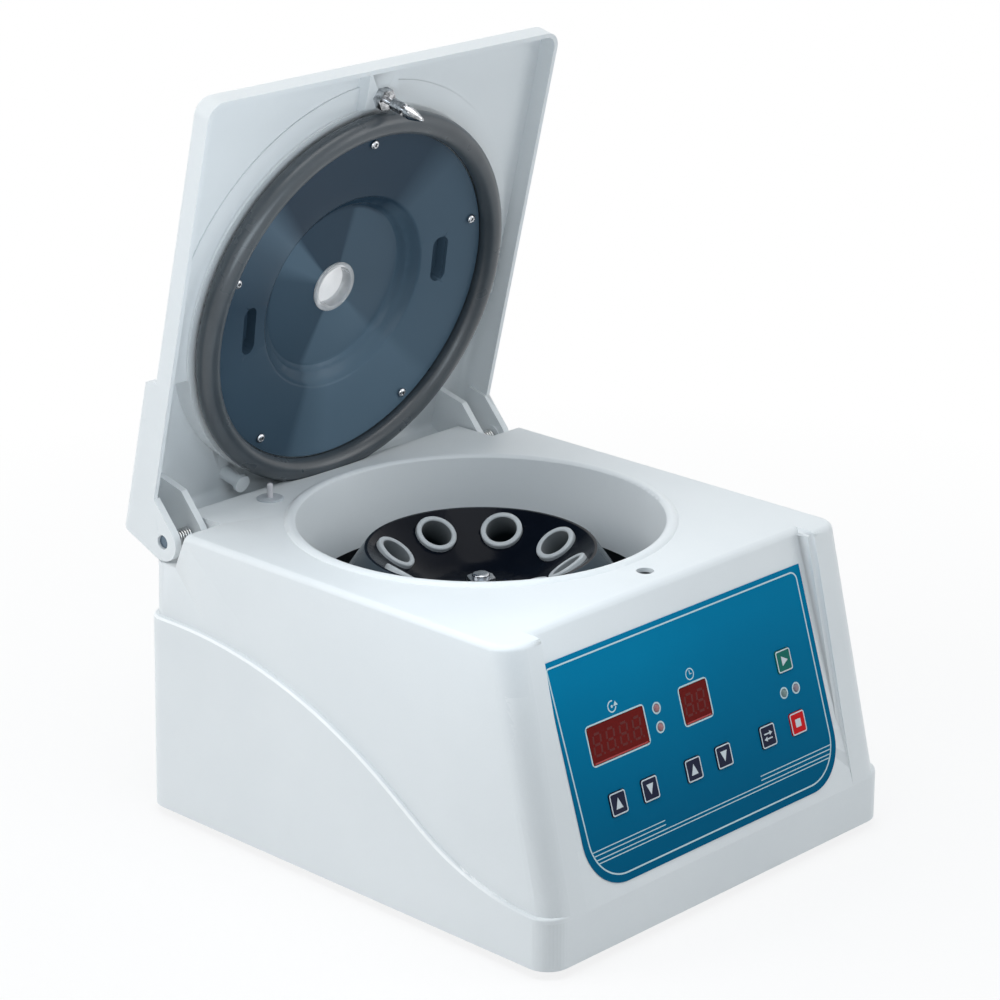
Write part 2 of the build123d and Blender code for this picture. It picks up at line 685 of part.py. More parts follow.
def make_housing():
    """The moulded housing: plinth with its S ledge, deck, throat, sunk panel and hinge notches."""
    upper = leaning_block(UPPER_WIDTH_LOW, DECK_WIDTH, 0.0, 0.0, FRONT_CORNER_RADIUS)
    top_edges = upper.faces().sort_by(Axis.Z)[-1].edges()
    upper = fillet(top_edges, DECK_EDGE_RADIUS)
    plinth = leaning_block(PLINTH_WIDTH, PLINTH_WIDTH, 0.0, 0.0, FRONT_CORNER_RADIUS)
    plinth = rounded_ledge(plinth & ledge_region(0.0))
    outer = upper + plinth

    wall = HOUSING_WALL
    hollow = leaning_block(UPPER_WIDTH_LOW, DECK_WIDTH, wall, -wall, FRONT_CORNER_RADIUS - wall)
    low = leaning_block(PLINTH_WIDTH, PLINTH_WIDTH, wall, -wall, FRONT_CORNER_RADIUS - wall)
    hollow += low & ledge_region(wall)
    kept = [panel_front_region(wall, 0), notch_cutter(-1, wall), notch_cutter(1, wall)]
    kept.append(cylinder(BOWL_RADIUS + wall, THROAT_FOOT_Z, DECK_Z + PAST, 0, BOWL_Y))
    kept.append(seal_scoop(wall))
    for x, y in base_boss_places():
        kept.append(cylinder(BASE_BOSS_RADIUS, BASE_PLATE_THICKNESS, BASE_BOSS_HEIGHT, x, y))
    for x, s in board_post_places():
        kept.append(on_panel(cylinder(BOARD_POST_RADIUS, -BOARD_DEPTH, 1), x, s))
    hollow = hollow - kept

    cuts = [hollow, panel_cutter(), notch_cutter(-1), notch_cutter(1), seal_scoop(0.0)]
    cuts.append(cylinder(BOWL_RADIUS + LIP_WIDTH / 2, THROAT_FOOT_Z - PAST, DECK_Z + PAST, 0, BOWL_Y))
    outer = outer - cuts
    outer = outer + throat()

    holes = panel_openings() + vent_cuts()
    for x, y in base_boss_places():
        holes.append(cylinder(SCREW_RADIUS + SCREW_FIT, -PAST, BASE_SCREW_LENGTH + 2, x, y))
    inlet_width = INLET_WIDTH + 2 * INLET_CLEARANCE
    inlet_height = INLET_HEIGHT + 2 * INLET_CLEARANCE
    holes.append(on_rear(block(*span(inlet_width), *span(inlet_height), -PAST, PAST)))
    holes.append(cylinder(LATCH_HOLE_RADIUS, DECK_Z - PAST, DECK_Z + PAST, 0, latch_y()))
    stem = GROMMET_STEM_RADIUS + GROMMET_FIT
    holes.append(cylinder(stem, DECK_Z - PAST, DECK_Z + PAST, PLUNGER_X, PLUNGER_Y))
    holes += [hinge_bore(side) for side in (-1, 1)]
    return outer - holes


def span(width):
    """Both ends of a width centred on zero."""
    return (-width / 2, width / 2)


def on_rear(solid):
    """Puts a solid drawn at the origin on the leaning rear wall at the inlet, z becoming the way out."""
    lean = (PLINTH_REAR_Y - DECK_REAR_Y) / DECK_Z
    y = PLINTH_REAR_Y - lean * INLET_Z
    plane = Plane(origin=(INLET_X, y, INLET_Z), x_dir=(-1, 0, 0), z_dir=(0, 1, lean))
    return plane.location * solid


def hinge_bore(side):
    """A cylinder along the hinge axis through the notch's inner wall."""
    bore = Rot(0, 90, 0) * Cylinder(HINGE_PIN_RADIUS + HINGE_PIN_FIT, 2 * PIN_GRIP)
    return Pos(side * (NOTCH_INNER_X - PIN_GRIP / 2), HINGE_Y, HINGE_Z) * bore


def make_base_plate():
    """The steel base plate, flush with the plinth's underside, with vent slots under the motor."""
    inset = HOUSING_WALL + BASE_PLATE_CLEARANCE
    width = PLINTH_WIDTH - 2 * inset
    depth = PLINTH_REAR_Y - PLINTH_FRONT_Y - 2 * inset
    plate = extrude(RectangleRounded(width, depth, FRONT_CORNER_RADIUS - inset), amount=BASE_PLATE_THICKNESS)
    holes = [cylinder(SCREW_RADIUS + SCREW_FIT, -PAST, PAST, x, y) for x, y in base_boss_places()]
    holes += [cylinder(FOOT_STEM_RADIUS + FOOT_STEM_FIT, -PAST, PAST, x, y) for x, y in foot_places()]
    holes += [cylinder(DAMPER_STUD_RADIUS + SCREW_FIT, -PAST, PAST, x, y) for x, y in damper_places()]
    for index in range(PLATE_SLOT_COUNT):
        y = BOWL_Y + (index - (PLATE_SLOT_COUNT - 1) / 2) * PLATE_SLOT_PITCH
        slot = extrude(SlotOverall(PLATE_SLOT_LENGTH, PLATE_SLOT_WIDTH), amount=PAST, both=True)
        holes.append(Pos(0, y, 0) * slot)
    return plate - holes


def foot_places():
    """The four feet."""
    x = PLINTH_WIDTH / 2 - FOOT_INSET
    front = PLINTH_FRONT_Y + FOOT_INSET
    rear = PLINTH_REAR_Y - FOOT_INSET
    return [(-x, front), (x, front), (-x, rear), (x, rear)]


def make_foot(x, y):
    """A rubber foot with a hollow underside and a stem that snaps into the base plate."""
    stem = FOOT_STEM_RADIUS
    catch_low = BASE_PLATE_THICKNESS + FOOT_STEM_FIT
    catch_high = catch_low + FOOT_CATCH_HEIGHT
    low = -FOOT_HEIGHT
    hollow = FOOT_HOLLOW_RADIUS
    foot = turned(
        (0, low / 2), (hollow, low / 2), (hollow, low), (FOOT_RADIUS - FOOT_TAPER, low), (FOOT_RADIUS, 0),
        (stem, 0), (stem, catch_low), (stem + FOOT_CATCH, catch_low), (stem, catch_high), (0, catch_high),
    )
    return Pos(x, y, 0) * foot


def pan_screw(radius, length, head_radius, head_height):
    """A pan-head screw with its head above z = 0 and a cross recess."""
    crown = head_radius * PAN_CROWN_SHARE
    rim = head_height / 2
    head = turned((0, 0), (head_radius, 0), (head_radius, rim), (crown, head_height), (0, head_height))
    shank = cylinder(radius, -length, 0)
    arm = head_radius * CROSS_ARM_SHARE
    bars = [Box(arm, CROSS_WIDTH, CROSS_DEPTH), Box(CROSS_WIDTH, arm, CROSS_DEPTH)]
    return head + shank - [Pos(0, 0, head_height) * bar for bar in bars]


def make_base_screws():
    """The screws that hold the base plate up into the housing."""
    screw = pan_screw(SCREW_RADIUS, BASE_SCREW_LENGTH, SCREW_HEAD_RADIUS, SCREW_HEAD_HEIGHT)
    return Compound([Pos(x, y, 0) * Rot(180, 0, 0) * screw for x, y in base_boss_places()])


def make_chamber():
    """The black chamber under the throat: a drawn pot with a rounded floor and a top flange."""
    floor = CHAMBER_FLOOR_Z
    wall = CHAMBER_WALL
    radius = CHAMBER_RADIUS
    bend = CHAMBER_FILLET
    top = THROAT_FOOT_Z
    flange = CHAMBER_FLANGE_RADIUS
    hole = BOOT_HOLE_RADIUS
    outer = radius + wall
    under = floor - wall
    with BuildPart() as part:
        with BuildSketch(Plane.XZ):
            with BuildLine():
                Line((hole, floor), (radius - bend, floor))
                RadiusArc((radius - bend, floor), (radius, floor + bend), -bend)
                Polyline(
                    (radius, floor + bend), (radius, top), (flange, top), (flange, top - wall),
                    (outer, top - wall), (outer, floor + bend),
                )
                RadiusArc((outer, floor + bend), (radius - bend, under), bend + wall)
                Polyline((radius - bend, under), (hole, under), (hole, floor))
            make_face()
        revolve(axis=Axis.Z)
    return Pos(0, BOWL_Y, 0) * part.part


def make_boot():
    """The rubber boot that closes the chamber floor round the shaft."""
    floor = CHAMBER_FLOOR_Z
    under = floor - CHAMBER_WALL
    hole = BOOT_HOLE_RADIUS
    inner = SHAFT_SHOULDER_RADIUS + BOOT_CLEARANCE
    neck = hole - BOOT_FIT
    bead = hole + BOOT_BEAD
    shoulder = inner + BOOT_BEAD
    rise = BOOT_RISE
    boot = turned(
        (inner, under - rise), (shoulder, under - rise), (hole, under - BOOT_BEAD),
        (bead, under - BOOT_BEAD / 2), (bead, under), (neck, under), (neck, floor), (bead, floor),
        (bead, floor + BOOT_BEAD / 2), (hole, floor + BOOT_BEAD),
        (shoulder, floor + rise), (inner, floor + rise),
    )
    return Pos(0, BOWL_Y, 0) * boot


def round_the_shaft(radius, count, first_angle):
    """Even places on a circle round the motor's shaft."""
    places = []
    for index in range(count):
        angle = math.radians(first_angle + 360 * index / count)
        places.append((radius * math.cos(angle), BOWL_Y + radius * math.sin(angle)))
    return places


def damper_places():
    """The rubber mounts round the motor."""
    return round_the_shaft(DAMPER_CIRCLE_RADIUS, DAMPER_COUNT, 90)


def make_damper(x, y):
    """A waisted rubber mount between base plate and motor plate, with its two studs."""
    low = BASE_PLATE_THICKNESS
    high = low + DAMPER_HEIGHT
    stud = DAMPER_STUD_RADIUS
    radius = DAMPER_RADIUS
    stud_low = low / 10
    stud_high = high + MOTOR_PLATE_THICKNESS + DAMPER_STUD_STAND
    damper = turned(
        (0, stud_low), (stud, stud_low), (stud, low), (radius, low), (radius, low + DAMPER_CAP),
        (radius - DAMPER_WAIST, (low + high) / 2), (radius, high - DAMPER_CAP), (radius, high), (stud, high),
        (stud, stud_high), (0, stud_high),
    )
    return Pos(x, y, 0) * damper


def motor_plate_z():
    """Underside and top of the motor plate."""
    low = BASE_PLATE_THICKNESS + DAMPER_HEIGHT
    return low, low + MOTOR_PLATE_THICKNESS


def motor_screw_places():
    """The screws of the motor's flange."""
    return round_the_shaft(MOTOR_SCREW_CIRCLE_RADIUS, MOTOR_SCREW_COUNT, 45)


def make_motor_plate():
    """The round plate that carries the motor on its rubber mounts."""
    low, high = motor_plate_z()
    plate = cylinder(MOTOR_PLATE_RADIUS, low, high, 0, BOWL_Y)
    holes = [cylinder(MOTOR_PLATE_HOLE_RADIUS, low - 1, high + 1, 0, BOWL_Y)]
    holes += [cylinder(DAMPER_STUD_RADIUS + SCREW_FIT, low - 1, high + 1, x, y) for x, y in damper_places()]
    screw = MOTOR_SCREW_RADIUS + SCREW_FIT
    holes += [cylinder(screw, low - 1, high + 1, x, y) for x, y in motor_screw_places()]
    return plate - holes


def make_motor():
    """The drive motor: flange, ribbed can and top boss with the shaft's bore."""
    low = motor_plate_z()[1]
    flange = low + MOTOR_FLANGE_HEIGHT
    top = MOTOR_TOP_Z
    bore = SHAFT_SHOULDER_RADIUS + SHAFT_FIT
    radius = MOTOR_RADIUS
    groove_low = top - MOTOR_CAP_HEIGHT
    groove_high = groove_low + MOTOR_GROOVE
    boss_top = top + MOTOR_BOSS_HEIGHT
    can = turned(
        (0, low), (MOTOR_FLANGE_RADIUS, low), (MOTOR_FLANGE_RADIUS, flange), (radius, flange),
        (radius, groove_low), (radius - MOTOR_GROOVE, groove_low), (radius - MOTOR_GROOVE, groove_high),
        (radius, groove_high), (radius, top - MOTOR_CHAMFER), (radius - MOTOR_CHAMFER, top),
        (bore + MOTOR_BOSS_WALL + 1, top), (bore + MOTOR_BOSS_WALL, boss_top), (bore, boss_top),
        (bore, MOTOR_SHAFT_FOOT_Z), (0, MOTOR_SHAFT_FOOT_Z),
    )
    can = Pos(0, BOWL_Y, 0) * can
    screw = MOTOR_SCREW_RADIUS + SCREW_FIT
    return can - [cylinder(screw, low - 1, flange + 1, x, y) for x, y in motor_screw_places()]


def make_motor_screws():
    """The four flange screws."""
    flange = motor_plate_z()[1] + MOTOR_FLANGE_HEIGHT
    length = MOTOR_FLANGE_HEIGHT + MOTOR_PLATE_THICKNESS
    screw = pan_screw(MOTOR_SCREW_RADIUS, length, MOTOR_SCREW_HEAD_RADIUS, MOTOR_SCREW_HEAD_HEIGHT)
    return Compound([Pos(x, y, flange) * screw for x, y in motor_screw_places()])


def nut_top_z():
    """The top of the rotor's nut."""
    return ROTOR_HUB_TOP_Z + NUT_WASHER_HEIGHT + NUT_HEIGHT


def make_shaft():
    """The motor's shaft with the shoulder that the rotor sits on."""
    foot = MOTOR_SHAFT_FOOT_Z + SHAFT_FOOT_GAP
    top = nut_top_z() + SHAFT_STAND
    shaft = turned(
        (0, foot), (SHAFT_SHOULDER_RADIUS, foot), (SHAFT_SHOULDER_RADIUS, ROTOR_HUB_FOOT_Z),
        (SHAFT_RADIUS, ROTOR_HUB_FOOT_Z), (SHAFT_RADIUS, top - 1), (SHAFT_RADIUS - 1, top), (0, top),
    )
    return Pos(0, BOWL_Y, 0) * shaft


def on_sleeve(solid, index):
    """Puts a solid drawn at the origin on a sleeve's axis, z becoming the way out of its mouth."""
    turn = Pos(0, BOWL_Y, 0) * Rot(0, 0, SLEEVE_FIRST_ANGLE + 360 * index / SLEEVE_COUNT)
    return turn * Pos(SLEEVE_RIM_RADIUS, 0, SLEEVE_RIM_Z) * Rot(0, -SLEEVE_TILT, 0) * solid


def make_rotor():
    """The angle rotor: a dished cone on a hub, with a spot-faced hole for each sleeve and a sloping skirt."""
    tilt = math.radians(SLEEVE_TILT)
    slope = math.tan(tilt)
    seat_radius = SLEEVE_RIM_RADIUS + SLEEVE_FLANGE_THICKNESS * math.sin(tilt)
    seat_z = SLEEVE_RIM_Z - SLEEVE_FLANGE_THICKNESS * math.cos(tilt)
    dish_top = seat_radius + (ROTOR_RIM_Z - seat_z) / slope
    dish_foot = seat_radius - (seat_z - ROTOR_HUB_TOP_Z) / slope
    skirt_top = ROTOR_RIM_Z - (ROTOR_EDGE_RADIUS - ROTOR_RIM_RADIUS) / slope
    skirt_foot = skirt_top - ROTOR_SKIRT_HEIGHT
    skirt_in = ROTOR_SKIRT_WALL / math.cos(tilt)
    dish_drop = ROTOR_DISH_WALL / math.cos(tilt)
    under_z = ROTOR_RIM_Z - dish_drop
    across = dish_top - ROTOR_RIM_RADIUS + skirt_in - slope * ROTOR_RIM_Z
    corner_z = (under_z - slope * across) / (1 + slope * slope)
    corner_radius = dish_top - (under_z - corner_z) / slope
    hub_under_z = under_z - (dish_top - ROTOR_HUB_RADIUS) * slope
    bore = SHAFT_RADIUS + SHAFT_FIT
    edge = ROTOR_EDGE_RADIUS
    rotor = turned(
        (bore, ROTOR_HUB_FOOT_Z), (bore, ROTOR_HUB_TOP_Z), (dish_foot, ROTOR_HUB_TOP_Z),
        (dish_top, ROTOR_RIM_Z), (ROTOR_RIM_RADIUS, ROTOR_RIM_Z), (edge, skirt_top), (edge, skirt_foot),
        (edge - skirt_in, skirt_foot), (edge - skirt_in, skirt_top), (corner_radius, corner_z),
        (ROTOR_HUB_RADIUS, hub_under_z), (ROTOR_HUB_RADIUS, ROTOR_HUB_FOOT_Z),
    )
    rotor = Pos(0, BOWL_Y, 0) * rotor
    seat = cylinder(SLEEVE_FLANGE_RADIUS + SLEEVE_CLEARANCE, -SLEEVE_FLANGE_THICKNESS, PAST)
    hole = cylinder(SLEEVE_OUTER_RADIUS + SLEEVE_CLEARANCE, -2 * PAST, 0)
    cutter = seat + hole
    return rotor - [on_sleeve(cutter, index) for index in range(SLEEVE_COUNT)]


def make_sleeve(index):
    """A flanged tube sleeve with a round bottom."""
    outer = SLEEVE_OUTER_RADIUS
    bore = SLEEVE_BORE_RADIUS
    flange = SLEEVE_FLANGE_RADIUS
    thick = SLEEVE_FLANGE_THICKNESS
    edge = SLEEVE_EDGE_RADIUS
    foot = -SLEEVE_LENGTH
    with BuildPart() as part:
        with BuildSketch(Plane.XZ):
            with BuildLine():
                Polyline((0, foot + outer - bore), (0, foot))
                RadiusArc((0, foot), (outer, foot + outer), -outer)
                Polyline((outer, foot + outer), (outer, -thick), (flange, -thick), (flange, -edge))
                RadiusArc((flange, -edge), (flange - edge, 0), -edge)
                Polyline((flange - edge, 0), (bore + edge / 2, 0), (bore, -edge / 2), (bore, foot + outer))
                RadiusArc((bore, foot + outer), (0, foot + outer - bore), bore)
            make_face()
        revolve(axis=Axis.Z)
    return on_sleeve(part.part, index)


def hex_nut(across_flats, height, bore):
    """A hexagon nut standing on z = 0, its top corners turned off."""
    body = extrude(RegularPolygon(across_flats / 2, 6, major_radius=False), amount=height)
    corner = across_flats / math.sqrt(3)
    drop = (corner - across_flats / 2) / 2
    wide = corner + 1
    cone = turned((0, -1), (wide, -1), (wide, height - drop), (corner - drop, height), (0, height))
    return (body & cone) - cylinder(bore, -1, height + 1)


def make_rotor_nut():
    """The chromed nut with its washer on the rotor's hub."""
    bore = SHAFT_RADIUS + SHAFT_FIT
    washer = cylinder(NUT_WASHER_RADIUS, 0, NUT_WASHER_HEIGHT) - cylinder(bore, -1, NUT_WASHER_HEIGHT + 1)
    nut = washer + Pos(0, 0, NUT_WASHER_HEIGHT) * hex_nut(NUT_ACROSS_FLATS, NUT_HEIGHT, bore)
    return Pos(0, BOWL_Y, ROTOR_HUB_TOP_Z) * nut


def on_lid(solid):
    """Swings a piece drawn in the lid's own axes to the open position."""
    return Pos(0, HINGE_Y, HINGE_Z) * Rot(-LID_OPEN_ANGLE, 0, 0) * solid


def bowl_v():
    """How far the bowl's middle lies from the hinge."""
    return HINGE_Y - BOWL_Y


def lid_block(u0, u1, v0, v1, w0, w1):
    """A box in the lid's own axes."""
    return block(u0, u1, -v1, -v0, w0, w1)


def lid_plan(inset, foot_w, top_w):
    """The lid's outline drawn in by inset, from one height to another, its rear wall leaning."""
    width = 2 * (LID_HALF_WIDTH - inset)
    depth = LID_FRONT_V + FAR
    middle = LID_FRONT_V - inset - depth / 2
    outline = RectangleRounded(width, depth, LID_CORNER_RADIUS - inset)
    solid = extrude(Pos(0, -middle, foot_w) * outline, amount=top_w - foot_w)
    far = LID_FRONT_V + FAR
    low = LID_RIM_W - FAR
    high = LID_RIM_W + FAR
    rear_high = rear_y(high) - inset
    rear_low = rear_y(low) - inset
    return solid & polygon_yz(LID_HALF_WIDTH, (-far, low), (-far, high), (rear_high, high), (rear_low, low))


def rear_y(w):
    """How far behind the hinge the lid's leaning rear wall stands at a height."""
    return -LID_REAR_V - LID_REAR_LEAN * (w - LID_RIM_W)


def lid_raised(inset, top_w):
    """The raised rear part of the lid, its front face sloping down to the slab."""
    front = LID_STEP_V - inset
    slope = LID_STEP_SLOPE / (LID_RAISED_TOP_W - LID_SLAB_TOP_W)
    top_v = front - slope * (top_w - LID_SLAB_TOP_W)
    low = LID_RIM_W - inset
    shape = polygon_yz(
        LID_HALF_WIDTH, (-front, low), (-front, LID_SLAB_TOP_W - inset), (-top_v, top_w), (PAST, top_w),
        (PAST, low),
    )
    return shape & lid_plan(inset, low, top_w)


def at_bowl(solid):
    """Puts a turned piece over the bowl's middle in the lid's own axes."""
    return Pos(0, -bowl_v(), 0) * solid


def boss_touch(across, w):
    """Where a line from a place beside the hinge boss touches the boss's underside."""
    turn = math.atan2(w, across) - math.acos(HINGE_BOSS_RADIUS / math.hypot(across, w))
    return HINGE_BOSS_RADIUS * math.cos(turn), HINGE_BOSS_RADIUS * math.sin(turn)


def ear(x0, x1, high_w):
    """A hinge ear between two places across the lid: a round boss under a tapering web."""
    front_y, front_w = boss_touch(EAR_CROOK_V, LID_RIM_W)
    rear_foot_y, rear_foot_w = boss_touch(rear_y(EAR_FOOT_W), EAR_FOOT_W)
    half = (x1 - x0) / 2
    web = polygon_yz(
        half, (-EAR_CROOK_V, high_w), (-EAR_CROOK_V, LID_RIM_W), (-front_y, front_w), (0, 0),
        (rear_foot_y, rear_foot_w), (rear_y(EAR_FOOT_W), EAR_FOOT_W), (rear_y(high_w), high_w),
    )
    boss = Rot(0, 90, 0) * Cylinder(HINGE_BOSS_RADIUS, x1 - x0)
    return Pos((x0 + x1) / 2, 0, 0) * (web + boss)


def side_ears(side):
    """Both ears of one hinge: the outer with its low boss and the thin inner one."""
    outer = ear(LID_HALF_WIDTH - OUTER_EAR_WALL, LID_HALF_WIDTH, LID_SLAB_TOP_W)
    boss = Rot(0, 90, 0) * Cylinder(OUTER_BOSS_RADIUS, OUTER_BOSS_LENGTH)
    outer += Pos(LID_HALF_WIDTH - OUTER_BOSS_LENGTH / 2, 0, 0) * boss
    inner = ear(INNER_EAR_X, INNER_EAR_X + INNER_EAR_WALL, LID_RAISED_TOP_W - LID_WALL)
    both = outer + inner
    if side < 0:
        both = mirror(both, about=Plane.YZ)
    return both


def pin_holes(side):
    """The running bore through both ears and the recess for the pin's head."""
    bore = Rot(0, 90, 0) * Cylinder(HINGE_PIN_RADIUS + HINGE_PIN_FIT, FAR)
    head = Rot(0, 90, 0) * Cylinder(PIN_HEAD_RADIUS + PIN_HEAD_CLEARANCE, 2 * PIN_HEAD_RECESS)
    return [Pos(side * LID_HALF_WIDTH, 0, 0) * bore, Pos(side * LID_HALF_WIDTH, 0, 0) * head]


def liner_screw_angles():
    """Where the liner's screws stand round the bowl's middle."""
    return [LINER_SCREW_FIRST_ANGLE + 360 * index / LINER_SCREW_COUNT for index in range(LINER_SCREW_COUNT)]


def at_liner_screw(solid, angle):
    """Puts a solid on one of the liner's screw places."""
    return at_bowl(Rot(0, 0, -angle) * Pos(LINER_SCREW_CIRCLE_RADIUS, 0, 0) * solid)


def liner_w(radius):
    """The height of the liner's sloping ring at a radius."""
    share = (LINER_RADIUS - radius) / (LINER_RADIUS - LINER_RING_RADIUS)
    return LINER_EDGE_W + (LINER_RING_W - LINER_EDGE_W) * share


def seat_w():
    """The height of the ring that the seal sits against."""
    return GASKET_W + GASKET_TUBE_RADIUS + GASKET_SEAT_GAP


def rounded_top(solid, radius):
    """Rounds the top edges of a flat-topped solid."""
    return fillet(solid.faces().sort_by(Axis.Z)[-1].edges(), radius)


def make_lid_shell():
    """The moulded lid: slab, raised rear, dome, walls, hinge ears, latch boss and switch post."""
    slab = rounded_top(lid_plan(0.0, LID_RIM_W, LID_SLAB_TOP_W), LID_EDGE_RADIUS)
    raised = rounded_top(lid_raised(0.0, LID_RAISED_TOP_W), LID_RAISED_EDGE_RADIUS)
    dome = turned(
        (0, LID_RIM_W), (LID_DOME_RADIUS, LID_RIM_W), (LID_DOME_RADIUS, LID_SLAB_TOP_W),
        (LID_DOME_RADIUS - LID_DOME_SLOPE, LID_DOME_TOP_W), (0, LID_DOME_TOP_W),
    )
    dome = at_bowl(rounded_top(dome, LID_DOME_EDGE_RADIUS))
    shell = slab + raised + dome

    wall = LID_WALL
    low = LID_RIM_W - wall
    ceiling = LID_SLAB_TOP_W - wall
    hollow = lid_plan(wall, low, ceiling)
    land = cylinder(LAND_RADIUS, ceiling - LAND_HEIGHT, ceiling + 1)
    hollow -= at_bowl(land)
    hollow += rounded_top(lid_raised(wall, LID_RAISED_TOP_W - wall), LID_RAISED_EDGE_RADIUS - wall)
    hollow += at_bowl(cylinder(LID_DOME_RADIUS - wall - 1, low, LID_DOME_TOP_W - wall))
    seat = cylinder(GASKET_RING_RADIUS + SEAT_HALF_WIDTH, seat_w(), LID_DOME_TOP_W)
    seat -= cylinder(GASKET_RING_RADIUS - SEAT_HALF_WIDTH, 0, LID_DOME_TOP_W + 1)
    hollow -= at_bowl(seat)
    boss_low = liner_w(LINER_SCREW_CIRCLE_RADIUS - LINER_BOSS_RADIUS) + LINER_WALL + LINER_BOSS_GAP
    screw_boss = cylinder(LINER_BOSS_RADIUS, boss_low, LID_DOME_TOP_W)
    posts = [at_liner_screw(screw_boss, angle) for angle in liner_screw_angles()]
    hollow = hollow - posts
    shell = shell - hollow

    latch = Pos(0, -LATCH_V, 0) * latch_boss()
    shell = shell + [side_ears(-1), side_ears(1), latch, switch_post()]
    holes = pin_holes(-1) + pin_holes(1)
    holes.append(at_bowl(cylinder(window_outer_radius() + WINDOW_CLEARANCE, low, LID_DOME_TOP_W + PAST)))
    thread_top = LATCH_BOSS_W + LATCH_THREAD_LENGTH + 1
    thread = cylinder(LATCH_THREAD_RADIUS + SCREW_FIT, LATCH_BOSS_W - 1, thread_top)
    holes.append(Pos(0, -LATCH_V, 0) * thread)
    pilot = cylinder(LINER_SCREW_RADIUS + SCREW_FIT, boss_low - 1, boss_low + LINER_SCREW_BITE + 1)
    holes += [at_liner_screw(pilot, angle) for angle in liner_screw_angles()]
    return on_lid(shell - holes)


def latch_boss():
    """The drafted boss on the front wall that carries the latch pin."""
    deep = LID_FRONT_V - LATCH_V - LID_WALL + 1
    back = LATCH_BOSS_BACK
    draft = LATCH_BOSS_DRAFT
    top = LID_SLAB_TOP_W - 1
    foot = Pos(0, -(deep - back) / 2, top) * Rectangle(LATCH_BOSS_WIDTH, deep + back)
    face = Rectangle(LATCH_BOSS_WIDTH - 2 * draft, deep + back - draft)
    face = Pos(0, -(deep - back + draft) / 2, LATCH_BOSS_W) * face
    return loft([face, foot], ruled=True)


def switch_post():
    """The post that presses the lid switch's plunger."""
    end_w = DECK_Z + PLUNGER_STAND - PLUNGER_TRAVEL + PLUNGER_GAP - HINGE_Z
    v = HINGE_Y - PLUNGER_Y
    root = LID_RAISED_TOP_W - 1
    head = end_w + POST_END_HEIGHT
    post = turned(
        (0, end_w), (POST_END_RADIUS, end_w), (POST_END_RADIUS, head - 1), (POST_RADIUS, head),
        (POST_ROOT_RADIUS, root), (0, root),
    )
    return Pos(PLUNGER_X, -v, 0) * post


def make_liner():
    """The dark liner inside the lid: a sloping ring, a stepped well and two oval pockets."""
    wall = LINER_WALL
    hole = window_outer_radius() + WINDOW_CLEARANCE
    floor_w = LINER_FLOOR_W
    rim_w = WINDOW_RIM_W + WINDOW_WALL
    step = LINER_STEP_W
    ring = LINER_RING_RADIUS
    floor = LINER_FLOOR_RADIUS
    foot = floor + LINER_BEND
    liner = turned(
        (hole, rim_w), (floor, floor_w), (foot - 1, floor_w - LINER_BEND / 2), (foot, step + LINER_SLANT),
        (ring - LINER_BEND, step), (ring - LINER_BEND / 2, LINER_RING_W + 1), (ring, LINER_RING_W),
        (LINER_RADIUS, LINER_EDGE_W), (LINER_RADIUS, LINER_EDGE_W + wall), (ring + wall, LINER_RING_W + wall),
        (ring, step + wall), (foot + wall, step + wall + LINER_SLANT), (foot - 1 + wall, floor_w + wall),
        (hole, floor_w + wall),
    )
    front_w = liner_w(SLOT_RADIUS)
    outer = Pos(0, 0, front_w + SLOT_WALL) * extrude(slot_outline(SLOT_WALL), amount=SLOT_DEPTH)
    inner = Pos(0, 0, front_w - SLOT_DEPTH) * extrude(slot_outline(0.0), amount=2 * SLOT_DEPTH)
    for turn in (-SLOT_TURN, 180 - SLOT_TURN):
        place = Rot(0, 0, turn) * Pos(SLOT_RADIUS, 0, 0)
        liner = liner + place * outer - place * inner
    hole = cylinder(LINER_SCREW_RADIUS + LINER_SCREW_HOLE_GAP, 0, FAR)
    placed = [at_liner_screw(hole, angle) for angle in liner_screw_angles()]
    return on_lid(at_bowl(liner) - placed)


def slot_outline(grow):
    """The oval of a liner pocket, its long side along the tangent."""
    return Rot(0, 0, 90) * SlotOverall(SLOT_LENGTH + 2 * grow, SLOT_WIDTH + 2 * grow)


def make_liner_screws():
    """The liner's screws, heads on its sloping ring."""
    length = LINER_WALL + LINER_BOSS_GAP + LINER_SCREW_SINK + LINER_SCREW_BITE
    screw = pan_screw(LINER_SCREW_RADIUS, length, LINER_SCREW_HEAD_RADIUS, LINER_SCREW_HEAD_HEIGHT)
    head_w = liner_w(LINER_SCREW_CIRCLE_RADIUS) - LINER_SCREW_STAND
    screw = Pos(0, 0, head_w) * Rot(180, 0, 0) * screw
    placed = [at_liner_screw(screw, angle) for angle in liner_screw_angles()]
    return Compound([on_lid(solid) for solid in placed])


def make_gasket():
    """The round lid seal."""
    ring = Torus(GASKET_RING_RADIUS, GASKET_TUBE_RADIUS)
    return on_lid(at_bowl(Pos(0, 0, GASKET_W) * ring))


def window_outer_radius():
    """The outside of the window's cup where it passes the liner and the lid."""
    return WINDOW_PANE_RADIUS + WINDOW_WALL + WINDOW_EDGE / 2


